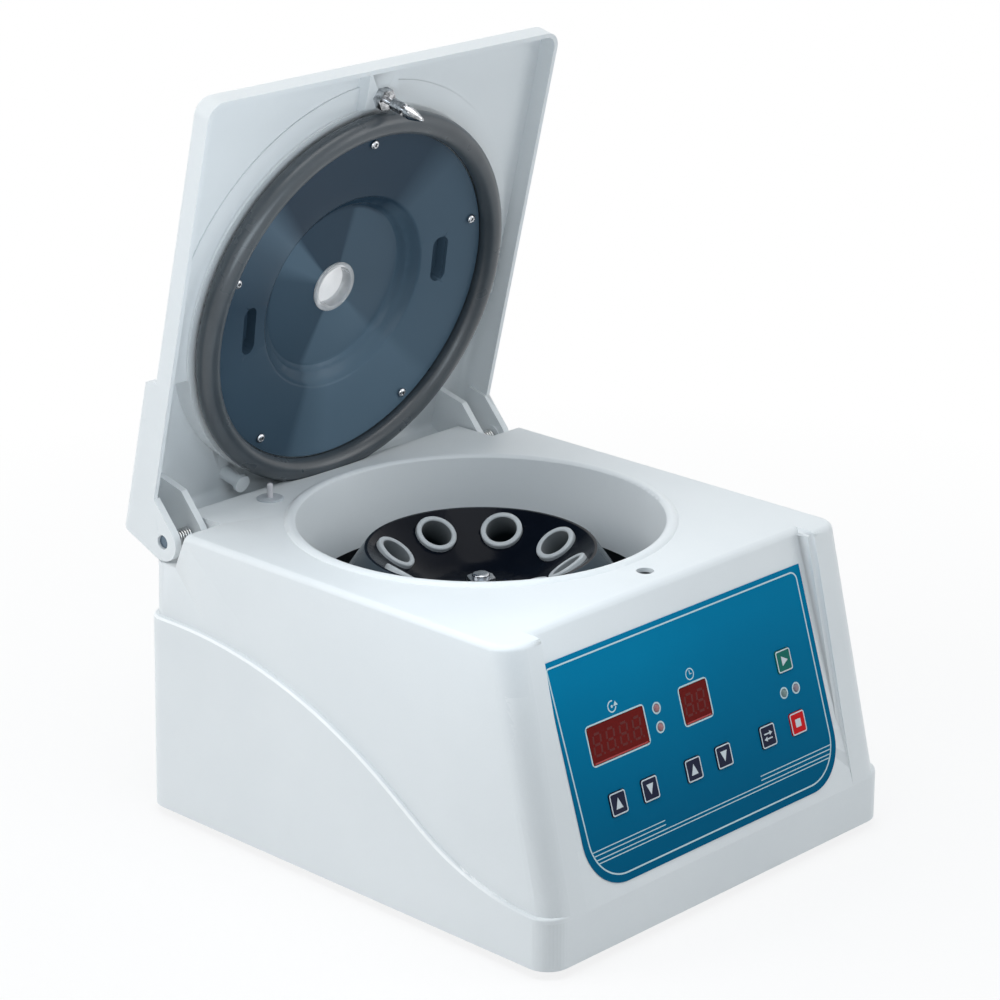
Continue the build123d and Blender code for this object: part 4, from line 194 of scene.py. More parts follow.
def build_grain():
    """A fine moulded or sprayed grain for the height, and the roughness that goes with it."""
    group, way_in, way_out = new_group(
        "fine grain",
        [("Vector", "NodeSocketVector", None), ("Scale", "NodeSocketFloat", 1500.0),
         ("Smooth", "NodeSocketFloat", 0.35), ("Rough", "NodeSocketFloat", 0.45)],
        [("Height", "NodeSocketFloat"), ("Roughness", "NodeSocketFloat")],
    )
    grain = noise(group, way_in.outputs["Vector"], way_in.outputs["Scale"], 3.0, 0.6)
    patches = noise(group, way_in.outputs["Vector"], 30.0, 3.0, 0.6)
    rough = spread(group, patches, 0.35, 0.65, way_in.outputs["Smooth"], way_in.outputs["Rough"])
    join(group, grain, way_out.inputs["Height"])
    join(group, rough, way_out.inputs["Roughness"])
    return group


def build_rings():
    """Rings about the vector's z axis, as a lathe leaves them, uneven from one to the next."""
    group, way_in, way_out = new_group(
        "turned rings",
        [("Vector", "NodeSocketVector", None), ("Pitch", "NodeSocketFloat", 2000.0)],
        [("Height", "NodeSocketFloat")],
    )
    parts = group.nodes.new("ShaderNodeSeparateXYZ")
    join(group, way_in.outputs["Vector"], parts.inputs[0])
    flat = group.nodes.new("ShaderNodeCombineXYZ")
    join(group, parts.outputs["X"], flat.inputs["X"])
    join(group, parts.outputs["Y"], flat.inputs["Y"])
    length = group.nodes.new("ShaderNodeVectorMath")
    length.operation = "LENGTH"
    join(group, flat.outputs[0], length.inputs[0])
    place = group.nodes.new("ShaderNodeCombineXYZ")
    join(group, length.outputs["Value"], place.inputs["X"])
    join(group, parts.outputs["Z"], place.inputs["Y"])
    rings = noise(group, place.outputs[0], way_in.outputs["Pitch"], 2.0, 0.7)
    join(group, rings, way_out.inputs["Height"])
    return group


GROUPS = {"drift": build_tone_drift(), "grain": build_grain(), "rings": build_rings()}
print("groups:", ", ".join(sorted(GROUPS)))

# %% [markdown]
# ## A finish
# Each finish is one Principled shader. Its colour comes from the drift between two tones, its roughness
# from the grain, and its bump from the grain or the rings. What is the same all over, such as the coat, is
# set on the shader itself, so that it survives the export.

# %% Finish helper
finishes = {}


def group_node(tree, name, values):
    """Places a shared group in a tree and sets its values."""
    node = tree.nodes.new("ShaderNodeGroup")
    node.node_tree = GROUPS[name]
    for label, value in values.items():
        node.inputs[label].default_value = (*value, 1.0) if isinstance(value, tuple) else value
    return node


GRAIN_HEIGHT = 0.0005
RING_HEIGHT = 0.0002


def finish(name, light, dark, smooth=0.35, rough=0.45, grain=1500.0, bump=0.02, size=14.0,
           centre=None, rings=0.0, paint=None, **sockets):
    """A procedural finish in Object coordinates, kept under its name.

    Light and dark are its two tones and size how quickly they change. Smooth and rough are its two
    roughnesses, grain and bump the fineness and strength of its grain. Rings are a lathe's, about a
    centre. A paint step may change the colour by place, and any other word sets a shader socket.
    """
    material = bpy.data.materials.new(name)
    material.use_nodes = True
    tree = material.node_tree
    shader = tree.nodes["Principled BSDF"]
    place = tree.nodes.new("ShaderNodeTexCoord").outputs["Object"]
    drift = group_node(tree, "drift", {"Light": light, "Dark": dark, "Size": size})
    fine = group_node(tree, "grain", {"Scale": grain, "Smooth": smooth, "Rough": rough})
    join(tree, place, drift.inputs["Vector"])
    join(tree, place, fine.inputs["Vector"])
    colour = drift.outputs["Color"]
    if paint:
        colour = paint(tree, place, colour)
    join(tree, colour, shader.inputs["Base Color"])
    join(tree, fine.outputs["Roughness"], shader.inputs["Roughness"])
    relief = tree.nodes.new("ShaderNodeBump")
    relief.inputs["Strength"].default_value = bump
    relief.inputs["Distance"].default_value = GRAIN_HEIGHT
    join(tree, fine.outputs["Height"], relief.inputs["Height"])
    if rings:
        turned = group_node(tree, "rings", {})
        join(tree, moved_to(tree, place, centre), turned.inputs["Vector"])
        turned_relief = tree.nodes.new("ShaderNodeBump")
        turned_relief.inputs["Strength"].default_value = rings
        turned_relief.inputs["Distance"].default_value = RING_HEIGHT
        join(tree, turned.outputs["Height"], turned_relief.inputs["Height"])
        join(tree, relief.outputs[0], turned_relief.inputs["Normal"])
        relief = turned_relief
    join(tree, relief.outputs[0], shader.inputs["Normal"])
    for label, value in sockets.items():
        shader.inputs[label.replace("_", " ")].default_value = value
    finishes[name] = material
    return material


# %% [markdown]
# ## Colour that changes with place
# Some pieces aren't one tone all over. The liner's polished moulding gets painted reflection in broad
# sectors, lighter and darker, with different edges on its floor and on its ring. The rotor is a paler grey
# outside its rim, partly a matt coat and partly painted reflection. A sleeve gets painted shade down its
# bore, the overlay is darker towards its foot, and the rounded edge of the housing's ledge gets a painted
# highlight. Each is a mask read from Object coordinates or an attribute.

# %% Paint steps
def ramp(tree, value, stops):
    """A grey curve through (place, level) stops, used as a mask."""
    node = tree.nodes.new("ShaderNodeValToRGB")
    elements = node.color_ramp.elements
    while len(elements) < len(stops):
        elements.new(0.5)
    for element, (place, level) in zip(elements, stops):
        element.position = place
        element.color = (level, level, level, 1.0)
    join(tree, value, node.inputs["Fac"])
    return node.outputs["Color"]


def moved_to(tree, vector, location, rotation=(0, 0, 0)):
    """A vector seen from another frame."""
    node = tree.nodes.new("ShaderNodeMapping")
    node.vector_type = "TEXTURE"
    node.inputs["Location"].default_value = location
    node.inputs["Rotation"].default_value = rotation
    join(tree, vector, node.inputs["Vector"])
    return node.outputs[0]


def flat_distance(tree, vector):
    """The distance from a vector's z axis."""
    flat = tree.nodes.new("ShaderNodeVectorMath")
    flat.operation = "MULTIPLY"
    flat.inputs[1].default_value = (1, 1, 0)
    join(tree, vector, flat.inputs[0])
    length = tree.nodes.new("ShaderNodeVectorMath")
    length.operation = "LENGTH"
    join(tree, flat.outputs[0], length.inputs[0])
    return length.outputs["Value"]


def part_of(tree, vector, label):
    """One coordinate of a vector."""
    node = tree.nodes.new("ShaderNodeSeparateXYZ")
    join(tree, vector, node.inputs[0])
    return node.outputs[label]


# Each stop is a share of a full turn, from the liner's right towards the latch, and a level of painted
# reflection from dark to light.
FLOOR_REFLECTION_SECTORS = [
    (0, 0.50), (0.217, 0.50), (0.232, 0.17), (0.364, 0.17), (0.376, 0.80), (0.42, 0.82),
    (0.455, 0.38), (0.69, 0.35), (0.706, 0.82), (0.872, 0.95), (0.89, 0.60), (1.0, 0.50),
]
RING_REFLECTION_SECTORS = [
    (0, 0.60), (0.13, 0.50), (0.172, 0.10), (0.364, 0.02), (0.39, 0.65), (0.42, 0.36), (0.48, 0.14),
    (0.56, 0.32), (0.695, 0.37), (0.708, 0.70), (0.75, 1.0), (0.876, 1.0), (0.892, 0.78), (1.0, 0.60),
]
LINER_STEP = 0.0565
LINER_REFLECTION_DARK = (0.016, 0.036, 0.060)
LINER_REFLECTION_LIGHT = (0.120, 0.185, 0.245)


def paint_sector_reflections(tree, place, colour):
    """Painted reflection in broad sectors about the liner's centre, one set on its floor and one on its ring.
    """
    centre = LID @ Vector((0, -BOWL_V, 0))
    seen = moved_to(tree, place, centre, (-LID_ANGLE, 0, 0))
    turn = tree.nodes.new("ShaderNodeTexGradient")
    turn.gradient_type = "RADIAL"
    mirrored = tree.nodes.new("ShaderNodeVectorMath")
    mirrored.operation = "MULTIPLY"
    mirrored.inputs[1].default_value = (-1, 1, 1)
    join(tree, seen, mirrored.inputs[0])
    join(tree, mirrored.outputs[0], turn.inputs["Vector"])
    outside = spread(tree, flat_distance(tree, seen), LINER_STEP - 0.001, LINER_STEP + 0.001, 0.0, 1.0)
    level = mix_colour(tree, outside, ramp(tree, turn.outputs["Fac"], FLOOR_REFLECTION_SECTORS),
                       ramp(tree, turn.outputs["Fac"], RING_REFLECTION_SECTORS))
    return mix_colour(tree, level, LINER_REFLECTION_DARK, LINER_REFLECTION_LIGHT)


def paint_rotor(tree, place, colour):
    """A paler grey outside the rotor's rim: partly its matt coat, partly painted reflection."""
    distance = flat_distance(tree, moved_to(tree, place, ROTOR_CENTRE))
    outside = spread(tree, distance, ROTOR_RIM - 0.0006, ROTOR_RIM, 0.0, 1.0)
    return mix_colour(tree, outside, colour, (0.050, 0.066, 0.080))


def paint_bore_shade(tree, place, colour):
    """Painted shade down the bore, darker by the depth attribute, which is in millimetres."""
    node = tree.nodes.new("ShaderNodeAttribute")
    node.attribute_name = "depth"
    share = spread(tree, node.outputs["Fac"], 0.0, 40.0, 0.0, 1.0)
    level = ramp(tree, share, [(0.0, 0.0), (0.02, 0.55), (0.5, 1.0)])
    return mix_colour(tree, level, colour, (0.010, 0.016, 0.019))


def paint_overlay_foot(tree, place, colour):
    """Darker towards the overlay's foot."""
    foot = spread(tree, part_of(tree, place, "Z"), 0.165, 0.055, 0.0, 1.0)
    return mix_colour(tree, foot, colour, (0.0, 0.105, 0.215))


def paint_ledge_highlight(tree, place, colour):
    """A painted highlight on the ledge's rounded edge, where the edge attribute is set."""
    node = tree.nodes.new("ShaderNodeAttribute")
    node.attribute_name = "edge"
    return mix_colour(tree, node.outputs["Fac"], colour, (1.0, 1.0, 1.0))


def paint_lamps(tree, place, colour):
    """The left two lamps are pinkish, the right two a grey green and a grey mauve."""
    x = part_of(tree, place, "X")
    green = mix_colour(tree, spread(tree, x, 0.02, 0.03, 0.0, 1.0), colour, (0.17, 0.24, 0.235))
    return mix_colour(tree, spread(tree, x, 0.086, 0.087, 0.0, 1.0), green, (0.26, 0.21, 0.245))


# %% [markdown]
# ## Plastics and rubbers
# The housing and lid are moulded ABS in a cool white, with the soft sheen of a fine spark-eroded tool. The
# liner is the same kind of moulding in blue-black, polished. Rubber is duller and takes dust.

# %% Plastics and rubbers
# The housing's ledge edge gets a painted highlight.
finish("housing_plastic", (0.790, 0.812, 0.822), (0.755, 0.780, 0.793), 0.38, 0.46, 1900.0, 0.035, 9.0,
       paint=paint_ledge_highlight, Specular_IOR_Level=0.35)
# The liner's colour is painted reflection in broad sectors.
finish("liner_plastic", LINER_REFLECTION_LIGHT, LINER_REFLECTION_DARK, 0.20, 0.26, 1400.0, 0.012, 22.0,
       paint=paint_sector_reflections, Specular_IOR_Level=0.10)
finish("gasket_rubber", (0.062, 0.075, 0.086), (0.046, 0.057, 0.067), 0.26, 0.34, 2600.0, 0.05, 40.0,
       Specular_IOR_Level=0.6)
finish("rubber", (0.030, 0.031, 0.033), (0.020, 0.021, 0.022), 0.55, 0.72, 2200.0, 0.10, 60.0)
# The sleeves get painted shade down their bores.
finish("sleeve_plastic", (0.520, 0.545, 0.560), (0.460, 0.485, 0.500), 0.34, 0.46, 2400.0, 0.05, 60.0,
       paint=paint_bore_shade, Specular_IOR_Level=0.3)
finish("plunger_plastic", (0.62, 0.60, 0.62), (0.55, 0.53, 0.55), 0.30, 0.40, 2400.0, 0.04, 90.0)
finish("grommet_plastic", (0.50, 0.53, 0.56), (0.43, 0.46, 0.49), 0.40, 0.50, 2400.0, 0.05, 90.0)
finish("switch_plastic", (0.040, 0.041, 0.044), (0.028, 0.029, 0.031), 0.25, 0.35, 2000.0, 0.03, 50.0)
finish("black_plastic", (0.022, 0.022, 0.024), (0.014, 0.014, 0.016), 0.34, 0.46, 2300.0, 0.06, 50.0)
print(len(finishes), "finishes so far")

# %% [markdown]
# ## Metals
# The rotor is turned aluminium under a gloss black coat, so it keeps faint rings under its shine. The
# chamber is black enamel on steel. Screws, springs, tray and base plate are zinc plated, the latch pin and
# nut are chromed, with streaks of painted reflection in their colour, and the hinge pins are blued.

# %% Metals
finish("rotor_coat", (0.0045, 0.0065, 0.0115), (0.0030, 0.0045, 0.0085), 0.12, 0.20, 1200.0, 0.008, 30.0,
       centre=ROTOR_CENTRE, rings=0.04, paint=paint_rotor, Specular_IOR_Level=0.06)
finish("chamber_paint", (0.016, 0.017, 0.020), (0.011, 0.012, 0.014), 0.28, 0.40, 1600.0, 0.05, 18.0,
       centre=ROTOR_CENTRE, rings=0.03, Coat_Weight=0.3)
finish("motor_paint", (0.045, 0.048, 0.052), (0.030, 0.032, 0.036), 0.38, 0.50, 1300.0, 0.08, 25.0)
finish("solenoid_paint", (0.030, 0.032, 0.040), (0.022, 0.024, 0.030), 0.35, 0.48, 1500.0, 0.06, 40.0)
finish("turned_steel", (0.56, 0.58, 0.61), (0.46, 0.48, 0.51), 0.22, 0.34, 2400.0, 0.02, 70.0,
       centre=ROTOR_CENTRE, rings=0.10, Metallic=1.0)
finish("zinc_sheet", (0.60, 0.63, 0.66), (0.48, 0.51, 0.55), 0.30, 0.44, 900.0, 0.04, 45.0, Metallic=1.0)
finish("zinc_screws", (0.64, 0.66, 0.69), (0.50, 0.52, 0.55), 0.18, 0.30, 2600.0, 0.03, 160.0, Metallic=1.0)
finish("spring_wire", (0.70, 0.71, 0.70), (0.54, 0.55, 0.55), 0.20, 0.32, 3000.0, 0.03, 160.0, Metallic=1.0)
# The chrome's light and dark tones, mixed in small streaks, are painted reflection.
finish("chromed", (0.74, 0.75, 0.77), (0.14, 0.15, 0.16), 0.05, 0.12, 2600.0, 0.01, 260.0, Metallic=1.0)
finish("blued_steel", (0.150, 0.200, 0.250), (0.090, 0.125, 0.165), 0.22, 0.34, 2400.0, 0.02, 140.0,
       Metallic=1.0)
print(len(finishes), "finishes so far")

# %% [markdown]
# ## The panel's films and lenses
# The overlay is a polyester film printed from behind in teal, so its colour lies under a satin skin. The
# keys are windows of other inks in the same film. The displays are dark red filters over digits that aren't
# lit.

# %% Films and lenses
finish("overlay_film", (0.0, 0.200, 0.375), (0.0, 0.178, 0.345), 0.34, 0.42, 1500.0, 0.02, 7.0,
       paint=paint_overlay_foot, Specular_IOR_Level=0.02)
finish("panel_ink", (0.50, 0.66, 0.70), (0.43, 0.60, 0.64), 0.30, 0.40, 1500.0, 0.03, 60.0)
finish("key_ink", (0.60, 0.66, 0.70), (0.52, 0.58, 0.62), 0.30, 0.40, 1500.0, 0.03, 60.0)
finish("key_navy", (0.012, 0.016, 0.044), (0.009, 0.012, 0.034), 0.34, 0.44, 1500.0, 0.03, 60.0,
       Specular_IOR_Level=0.08)
finish("key_green", (0.004, 0.150, 0.120), (0.003, 0.130, 0.102), 0.34, 0.44, 1500.0, 0.03, 60.0,
       Specular_IOR_Level=0.08)
finish("key_red", (0.62, 0.006, 0.010), (0.54, 0.005, 0.008), 0.34, 0.44, 1500.0, 0.03, 60.0,
       Specular_IOR_Level=0.08)
finish("display_red", (0.160, 0.010, 0.008), (0.130, 0.008, 0.007), 0.20, 0.28, 1500.0, 0.01, 30.0,
       Specular_IOR_Level=0.04)
finish("display_edge", (0.42, 0.020, 0.020), (0.36, 0.016, 0.016), 0.20, 0.30, 1500.0, 0.01, 60.0)
finish("digit_unlit", (0.130, 0.018, 0.016), (0.110, 0.015, 0.014), 0.24, 0.34, 1500.0, 0.01, 60.0,
       Specular_IOR_Level=0.12)
finish("led_plastic", (0.36, 0.17, 0.18), (0.29, 0.13, 0.14), 0.26, 0.34, 1800.0, 0.02, 90.0,
       paint=paint_lamps, Specular_IOR_Level=0.3)
finish("recess_dark", (0.030, 0.031, 0.034), (0.020, 0.021, 0.024), 0.40, 0.55, 2400.0, 0.05, 120.0)
finish("board_green", (0.020, 0.140, 0.070), (0.014, 0.110, 0.055), 0.28, 0.38, 1200.0, 0.04, 40.0)
finish("window_plastic", (0.97, 0.98, 0.99), (0.93, 0.95, 0.97), 0.06, 0.14, 1500.0, 0.01, 40.0,
       Transmission_Weight=0.7, IOR=1.49)
print(len(finishes), "finishes in all")

# %% [markdown]
# ## Dressing the CAD pieces
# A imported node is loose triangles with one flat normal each, so a curve shows its facets. A copy is merged,
# its faces are shaded smooth and its real edges are kept sharp by their angle. Where a flat face runs into
# a small round, the large face has to set the normal, so they are weighted by area. The copy stands in for
# the node.

# %% Dress every node
MERGE_DISTANCE = 2e-6
EDGE_ANGLE = 14.0  # facets of one curve meet at less than this, in degrees, and real edges at more
SCREW_EDGE_ANGLE = 35.0
LARGE_FACE_WEIGHT = 80
OWN_FINISH = {"hinge_pin_left": "blued_steel", "hinge_pin_right": "blued_steel"}
SOFT = {"lid_gasket", "latch_spring", "plunger_spring", "torsion_spring_left", "torsion_spring_right"}


def dress(name):
    """A merged, smooth-shaded copy of a node in its finish, riding on the node's body."""
    source = nodes[name]
    shape = bmesh.new()
    shape.from_mesh(source.data)
    bmesh.ops.remove_doubles(shape, verts=shape.verts, dist=MERGE_DISTANCE)
    mesh = bpy.data.meshes.new(name + "_skin")
    shape.to_mesh(mesh)
    shape.free()
    mesh.shade_smooth()
    edge_angle = SCREW_EDGE_ANGLE if name == "liner_screws" else EDGE_ANGLE
    mesh.set_sharp_from_angle(angle=math.radians(edge_angle))
    mesh.materials.append(finishes[OWN_FINISH.get(name, slot_of_node[name])])
    piece = bpy.data.objects.new(name + "_skin", mesh)
    bpy.context.scene.collection.objects.link(piece)
    if name not in SOFT:
        weighted = piece.modifiers.new("weighted normals", "WEIGHTED_NORMAL")
        weighted.mode = "FACE_AREA"
        weighted.weight = LARGE_FACE_WEIGHT
        weighted.keep_sharp = True
    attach(piece, body_of_node[name])
    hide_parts(name)
    return piece


skins = {name: dress(name) for name in sorted(nodes)}
print(len(skins), "nodes dressed,", sum(len(skin.data.polygons) for skin in skins.values()), "faces")

# %% [markdown]
# ## Depth down each tube bore
# The bores are long cones of triangles, so a depth kept at each face's corners runs evenly down the wall.
# The record gives each bore's place, axis, radius and length. Faces that aren't on the bore's wall get no
# depth. The depth sets the painted shade that darkens each sleeve down its bore.

# %% Bore depths
WALL_ROOM = 0.0002


def mark_depth(name, mount):
    """Writes how deep each corner of a sleeve's bore lies below the mouth, in millimetres."""
    mesh = skins[name].data
    middle = Vector(mount["pos_m"])
    axis = Vector(mount["axis"])
    depth = mesh.attributes.new("depth", "FLOAT", "CORNER")
    for face in mesh.polygons:
        along = (face.center - middle).dot(axis)
        radial = (face.center - middle - along * axis).length
        inner = radial < mount["dims"]["r_mm"] / 1000 + WALL_ROOM
        for corner in face.loop_indices:
            place = mesh.vertices[mesh.loops[corner].vertex_index].co
            fall = mount["dims"]["length_mm"] / 2 - (place - middle).dot(axis) * 1000
            depth.data[corner].value = max(fall, 0.0) if inner else 0.0


for mount in record["mounts"]:
    if mount["name"].startswith("tube_bore_"):
        mark_depth(mount["name"].replace("tube_bore", "tube_sleeve"), mount)
print("bore depths written")

# %% [markdown]
# ## The ledge's painted highlight
# The step down each side catches the light along its rounded edge, and that edge gets a painted highlight.
# Its faces look up, stand at the side wall and lie below the deck, so they are found by that. The painted
# highlight fades out where the step runs into the front corner.

# %% Ledge highlight
SIDE_WALL_X = 0.140
LEDGE_LOW, LEDGE_HIGH = 0.012, 0.172
LEDGE_FRONT_Y = -0.165
LEDGE_FADE = 0.040
LEDGE_HIGHLIGHT = 0.75


def ledge_highlight_level(face):
    """How much painted highlight a face of the ledge's edge gets, 0 for any other face."""
    beside = abs(face.center.x) > SIDE_WALL_X and LEDGE_LOW < face.center.z < LEDGE_HIGH
    if not beside or face.normal.z < 0.12 or abs(face.normal.x) < 0.02:
        return 0.0
    return LEDGE_HIGHLIGHT * min(1.0, max(0.0, (face.center.y - LEDGE_FRONT_Y) / LEDGE_FADE))


def mark_ledge_highlight(name):
    """Writes the edge attribute, which holds the painted highlight, and returns the number of faces that have
    it.
    """
    mesh = skins[name].data
    values = mesh.attributes.new("edge", "FLOAT", "FACE").data
    for face, value in zip(mesh.polygons, values):
        value.value = ledge_highlight_level(face)
    return sum(1 for value in values if value.value)


print(mark_ledge_highlight("housing_shell"), "faces on the ledge's edge")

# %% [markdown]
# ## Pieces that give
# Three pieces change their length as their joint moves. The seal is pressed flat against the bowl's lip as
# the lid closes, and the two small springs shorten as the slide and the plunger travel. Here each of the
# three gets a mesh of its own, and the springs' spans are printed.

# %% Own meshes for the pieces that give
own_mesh(skins["lid_gasket"])
latch_low, latch_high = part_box("latch_spring")
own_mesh(skins["latch_spring"])
spring_low, spring_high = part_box("plunger_spring")
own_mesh(skins["plunger_spring"])
print("latch spring", [round(v, 4) for v in (latch_low[0], latch_high[0])],
      "plunger spring", [round(v, 4) for v in (spring_low[2], spring_high[2])])

# %% [markdown]
# ## Tools for thin printed and pressed details
# A printed line is a film of ink with a small real thickness. An outline of corners is filled and walled
# round, or walled to a second outline for a line that closes on itself. That gives closed solids that sit
# on what carries them, with their faces in the same order each run.

# %% Outline and solid helpers
def rounded(width, height, radius, corner_steps=6, x=0.0, y=0.0):
    """The corners of a rounded rectangle, anticlockwise."""
    points = []
    for turn, sx, sy in ((0, 1, 1), (90, -1, 1), (180, -1, -1), (270, 1, -1)):
        for step in range(corner_steps + 1):
            angle = math.radians(turn + 90 * step / corner_steps)
            points.append((
                x + sx * (width / 2 - radius) + radius * math.cos(angle),
                y + sy * (height / 2 - radius) + radius * math.sin(angle),
            ))
    return points


def arc_points(radius, start, end, steps, x=0.0, y=0.0):
    """Points along an arc, angles in degrees."""
    return [
        (x + radius * math.cos(math.radians(start + (end - start) * step / steps)),
         y + radius * math.sin(math.radians(start + (end - start) * step / steps)))
        for step in range(steps + 1)
    ]


def loops(shape, outline, low, height):
    """An outline's corners twice, at the foot and at the head of its solid."""
    return [[shape.verts.new((x, y, z)) for x, y in outline] for z in (low, low + height)]


def wall(shape, first, second):
    """A ring of faces between two loops of corners."""
    for i in range(len(first)):
        shape.faces.new((first[i - 1], first[i], second[i], second[i - 1]))


def fill(shape, outline, low, height):
    """A solid from one outline."""
    foot, head = loops(shape, outline, low, height)
    shape.faces.new(foot)
    shape.faces.new(head)
    wall(shape, foot, head)


def band(shape, outer, inner, low, height):
    """A solid between two outlines with the same number of corners."""
    ring = loops(shape, outer, low, height) + loops(shape, inner, low, height)[::-1]
    for index, loop in enumerate(ring):
        wall(shape, ring[index - 1], loop)


def stroke(shape, points, width, low, height):
    """A solid line of even width along points, square at its ends."""
    left = []
    right = []
    for index, (x, y) in enumerate(points):
        x0, y0 = points[max(index - 1, 0)]
        x1, y1 = points[min(index + 1, len(points) - 1)]
        length = math.hypot(x1 - x0, y1 - y0)
        side = (-(y1 - y0) / length * width / 2, (x1 - x0) / length * width / 2)
        left.append((x + side[0], y + side[1]))
        right.append((x - side[0], y - side[1]))
    fill(shape, right + left[::-1], low, height)


def settle(shape, name, place, body, material):
    """Turns a drawn shape into a piece on its body, in a finish and a material slot."""
    bmesh.ops.transform(shape, matrix=place, verts=shape.verts)
    bmesh.ops.recalc_face_normals(shape, faces=shape.faces)
    mesh = bpy.data.meshes.new(name)
    shape.to_mesh(mesh)
    shape.free()
    mesh.materials.append(finishes[material])
    piece = bpy.data.objects.new(name, mesh)
    bpy.context.scene.collection.objects.link(piece)
    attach(piece, body)
    return piece


# %% [markdown]
# ## The panel's printed lines
# A pale line runs round inside the overlay's edge, four fine stripes cross its foot, and each display and
# lamp has a pale ring. The two upper stripes stop short of the middle.

# %% Panel lines
INK = 0.05
BORDER_HALF = 115.3
BORDER_TOP = -25.0
BORDER_FOOT = -161.2
BORDER_FOOT_RADIUS = 27.5
BORDER_TOP_RADIUS = 6.0
BORDER_TOP_LEFT_RADIUS = 2.0
BORDER_DRIFT = 3.2
STRIPE_WIDTH = 0.6
STRIPE_GAP = (-47.7, 43.5)
STRIPES = ((-140.9, STRIPE_GAP), (-143.5, STRIPE_GAP), (-146.3, None), (-148.6, None))


def border(inset):
    """The border's outline, with small corners above and large ones below.

    Its left side leaves the overlay's edge slowly.
    """
    half = BORDER_HALF - inset
    top = BORDER_TOP - inset
    foot = BORDER_FOOT + inset
    right = BORDER_TOP_RADIUS - inset
    left = BORDER_TOP_LEFT_RADIUS - inset
    large = BORDER_FOOT_RADIUS - inset
    return (
        arc_points(right, 0, 90, 8, half - right, top - right)
        + arc_points(left, 90, 180, 8, -half - BORDER_DRIFT + left, top - left)
        + arc_points(large, 180, 270, 16, -half + large, foot + large)
        + arc_points(large, 270, 360, 16, half - large, foot + large)
    )


def border_reach(y):
    """Half the width inside the border at a height on the panel."""
    drop = max(BORDER_FOOT + BORDER_FOOT_RADIUS - y, 0)
    return BORDER_HALF - BORDER_FOOT_RADIUS + math.sqrt(max(BORDER_FOOT_RADIUS ** 2 - drop ** 2, 0)) - 0.4


lines = bmesh.new()
band(lines, border(0.0), border(1.0), overlay_top, INK)
for y, gap in STRIPES:
    reach = border_reach(y)
    spans = [(-reach, gap[0]), (gap[1], reach)] if gap else [(-reach, reach)]
    for start, end in spans:
        stroke(lines, [(start, y), (end, y)], STRIPE_WIDTH, overlay_top, INK)
DISPLAYS = {"display_speed": (-71.35, -79.95, 50.3, 4), "display_time": (0.4, -79.5, 24.8, 2)}
DISPLAY_HEIGHT = 23.2
for x, y, width, digits in DISPLAYS.values():
    outer = rounded(width + 2.6, DISPLAY_HEIGHT + 2.6, 3.0, 6, x, y)
    inner = rounded(width + 0.6, DISPLAY_HEIGHT + 0.6, 2.0, 6, x, y)
    band(lines, outer, inner, overlay_top, INK)
LAMPS = [(-34.3, -73.3), (-34.3, -85.4), (80.8, -96.9), (92.7, -96.9)]
for x, y in LAMPS:
    band(lines, arc_points(3.8, 0, 350, 35, x, y), arc_points(2.75, 0, 350, 35, x, y), overlay_top, INK)
panel_lines = settle(lines, "panel_lines", PANEL, "housing", "panel_ink")
print("panel lines:", len(panel_lines.data.polygons), "faces")

# %% [markdown]
# ## Plain pictograms on the panel
# Each display needs a sign that says what it counts. A round arrow stands for turning and a clock for time.
# They are strokes of the same ink.

# %% Panel pictograms
signs = bmesh.new()
TURN_AT = (-71.35, -61.5)
turn_x, turn_y = TURN_AT
arrow_head = [(turn_x + 1.5, turn_y - 0.2), (turn_x + 5.3, turn_y - 0.2), (turn_x + 3.4, turn_y + 2.6)]
stroke(signs, arc_points(3.4, 70, 350, 20, *TURN_AT), 0.8, overlay_top, INK)
fill(signs, arrow_head, overlay_top, INK)
fill(signs, arc_points(0.9, 0, 330, 11, *TURN_AT), overlay_top, INK)
CLOCK_AT = (0.4, -61.5)
clock_x, clock_y = CLOCK_AT
rim, face = (arc_points(radius, 0, 350, 35, *CLOCK_AT) for radius in (3.8, 3.1))
band(signs, rim, face, overlay_top, INK)
stroke(signs, [(clock_x, clock_y - 0.3), (clock_x, clock_y + 2.4)], 0.6, overlay_top, INK)
stroke(signs, [(clock_x - 0.3, clock_y), (clock_x + 1.9, clock_y)], 0.6, overlay_top, INK)
panel_signs = settle(signs, "panel_signs", PANEL, "housing", "panel_ink")
print("panel signs:", len(panel_signs.data.polygons), "faces")

# %% [markdown]
# ## Key faces
# Each key has a pale frame and a sign: triangles to raise and lower a value, a triangle pointing right to
# start, a square to stop, and two arrows to change what the display shows. The print moves with its key.

# %% Key faces
KEY_SIZE = 14.2
KEYS = {
    "key_start": (86.3, -77.0, "start"),
    "key_stop": (87.2, -118.5, "stop"),
    "key_mode": (57.5, -118.4, "swap"),
    "key_speed_up": (-83.7, -118.6, "up"),
    "key_speed_down": (-54.8, -118.6, "down"),
    "key_time_up": (-14.2, -118.6, "up"),
    "key_time_down": (14.5, -118.6, "down"),
}


def draw_sign(shape, kind, x, y, low):
    """A key's sign."""
    if kind in ("up", "down"):
        way = 1 if kind == "up" else -1
        corners = [(x - 3.1, y - way * 3.3), (x + 3.1, y - way * 3.3), (x, y + way * 3.5)]
        fill(shape, corners if way > 0 else corners[::-1], low, INK)
    elif kind == "start":
        fill(shape, [(x - 2.2, y - 3.2), (x + 3.6, y), (x - 2.2, y + 3.2)], low, INK)
    elif kind == "stop":
        fill(shape, rounded(5.2, 5.2, 0.4, 2, x, y), low, INK)
    else:
        for way in (1, -1):
            stroke(shape, [(x - way * 3.6, y + way * 1.7), (x + way * 1.6, y + way * 1.7)], 0.9, low, INK)
            back = x + way * 1.4
            tip = [(back, y + way * 0.1), (x + way * 4.2, y + way * 1.7), (back, y + way * 3.3)]
            fill(shape, tip, low, INK)


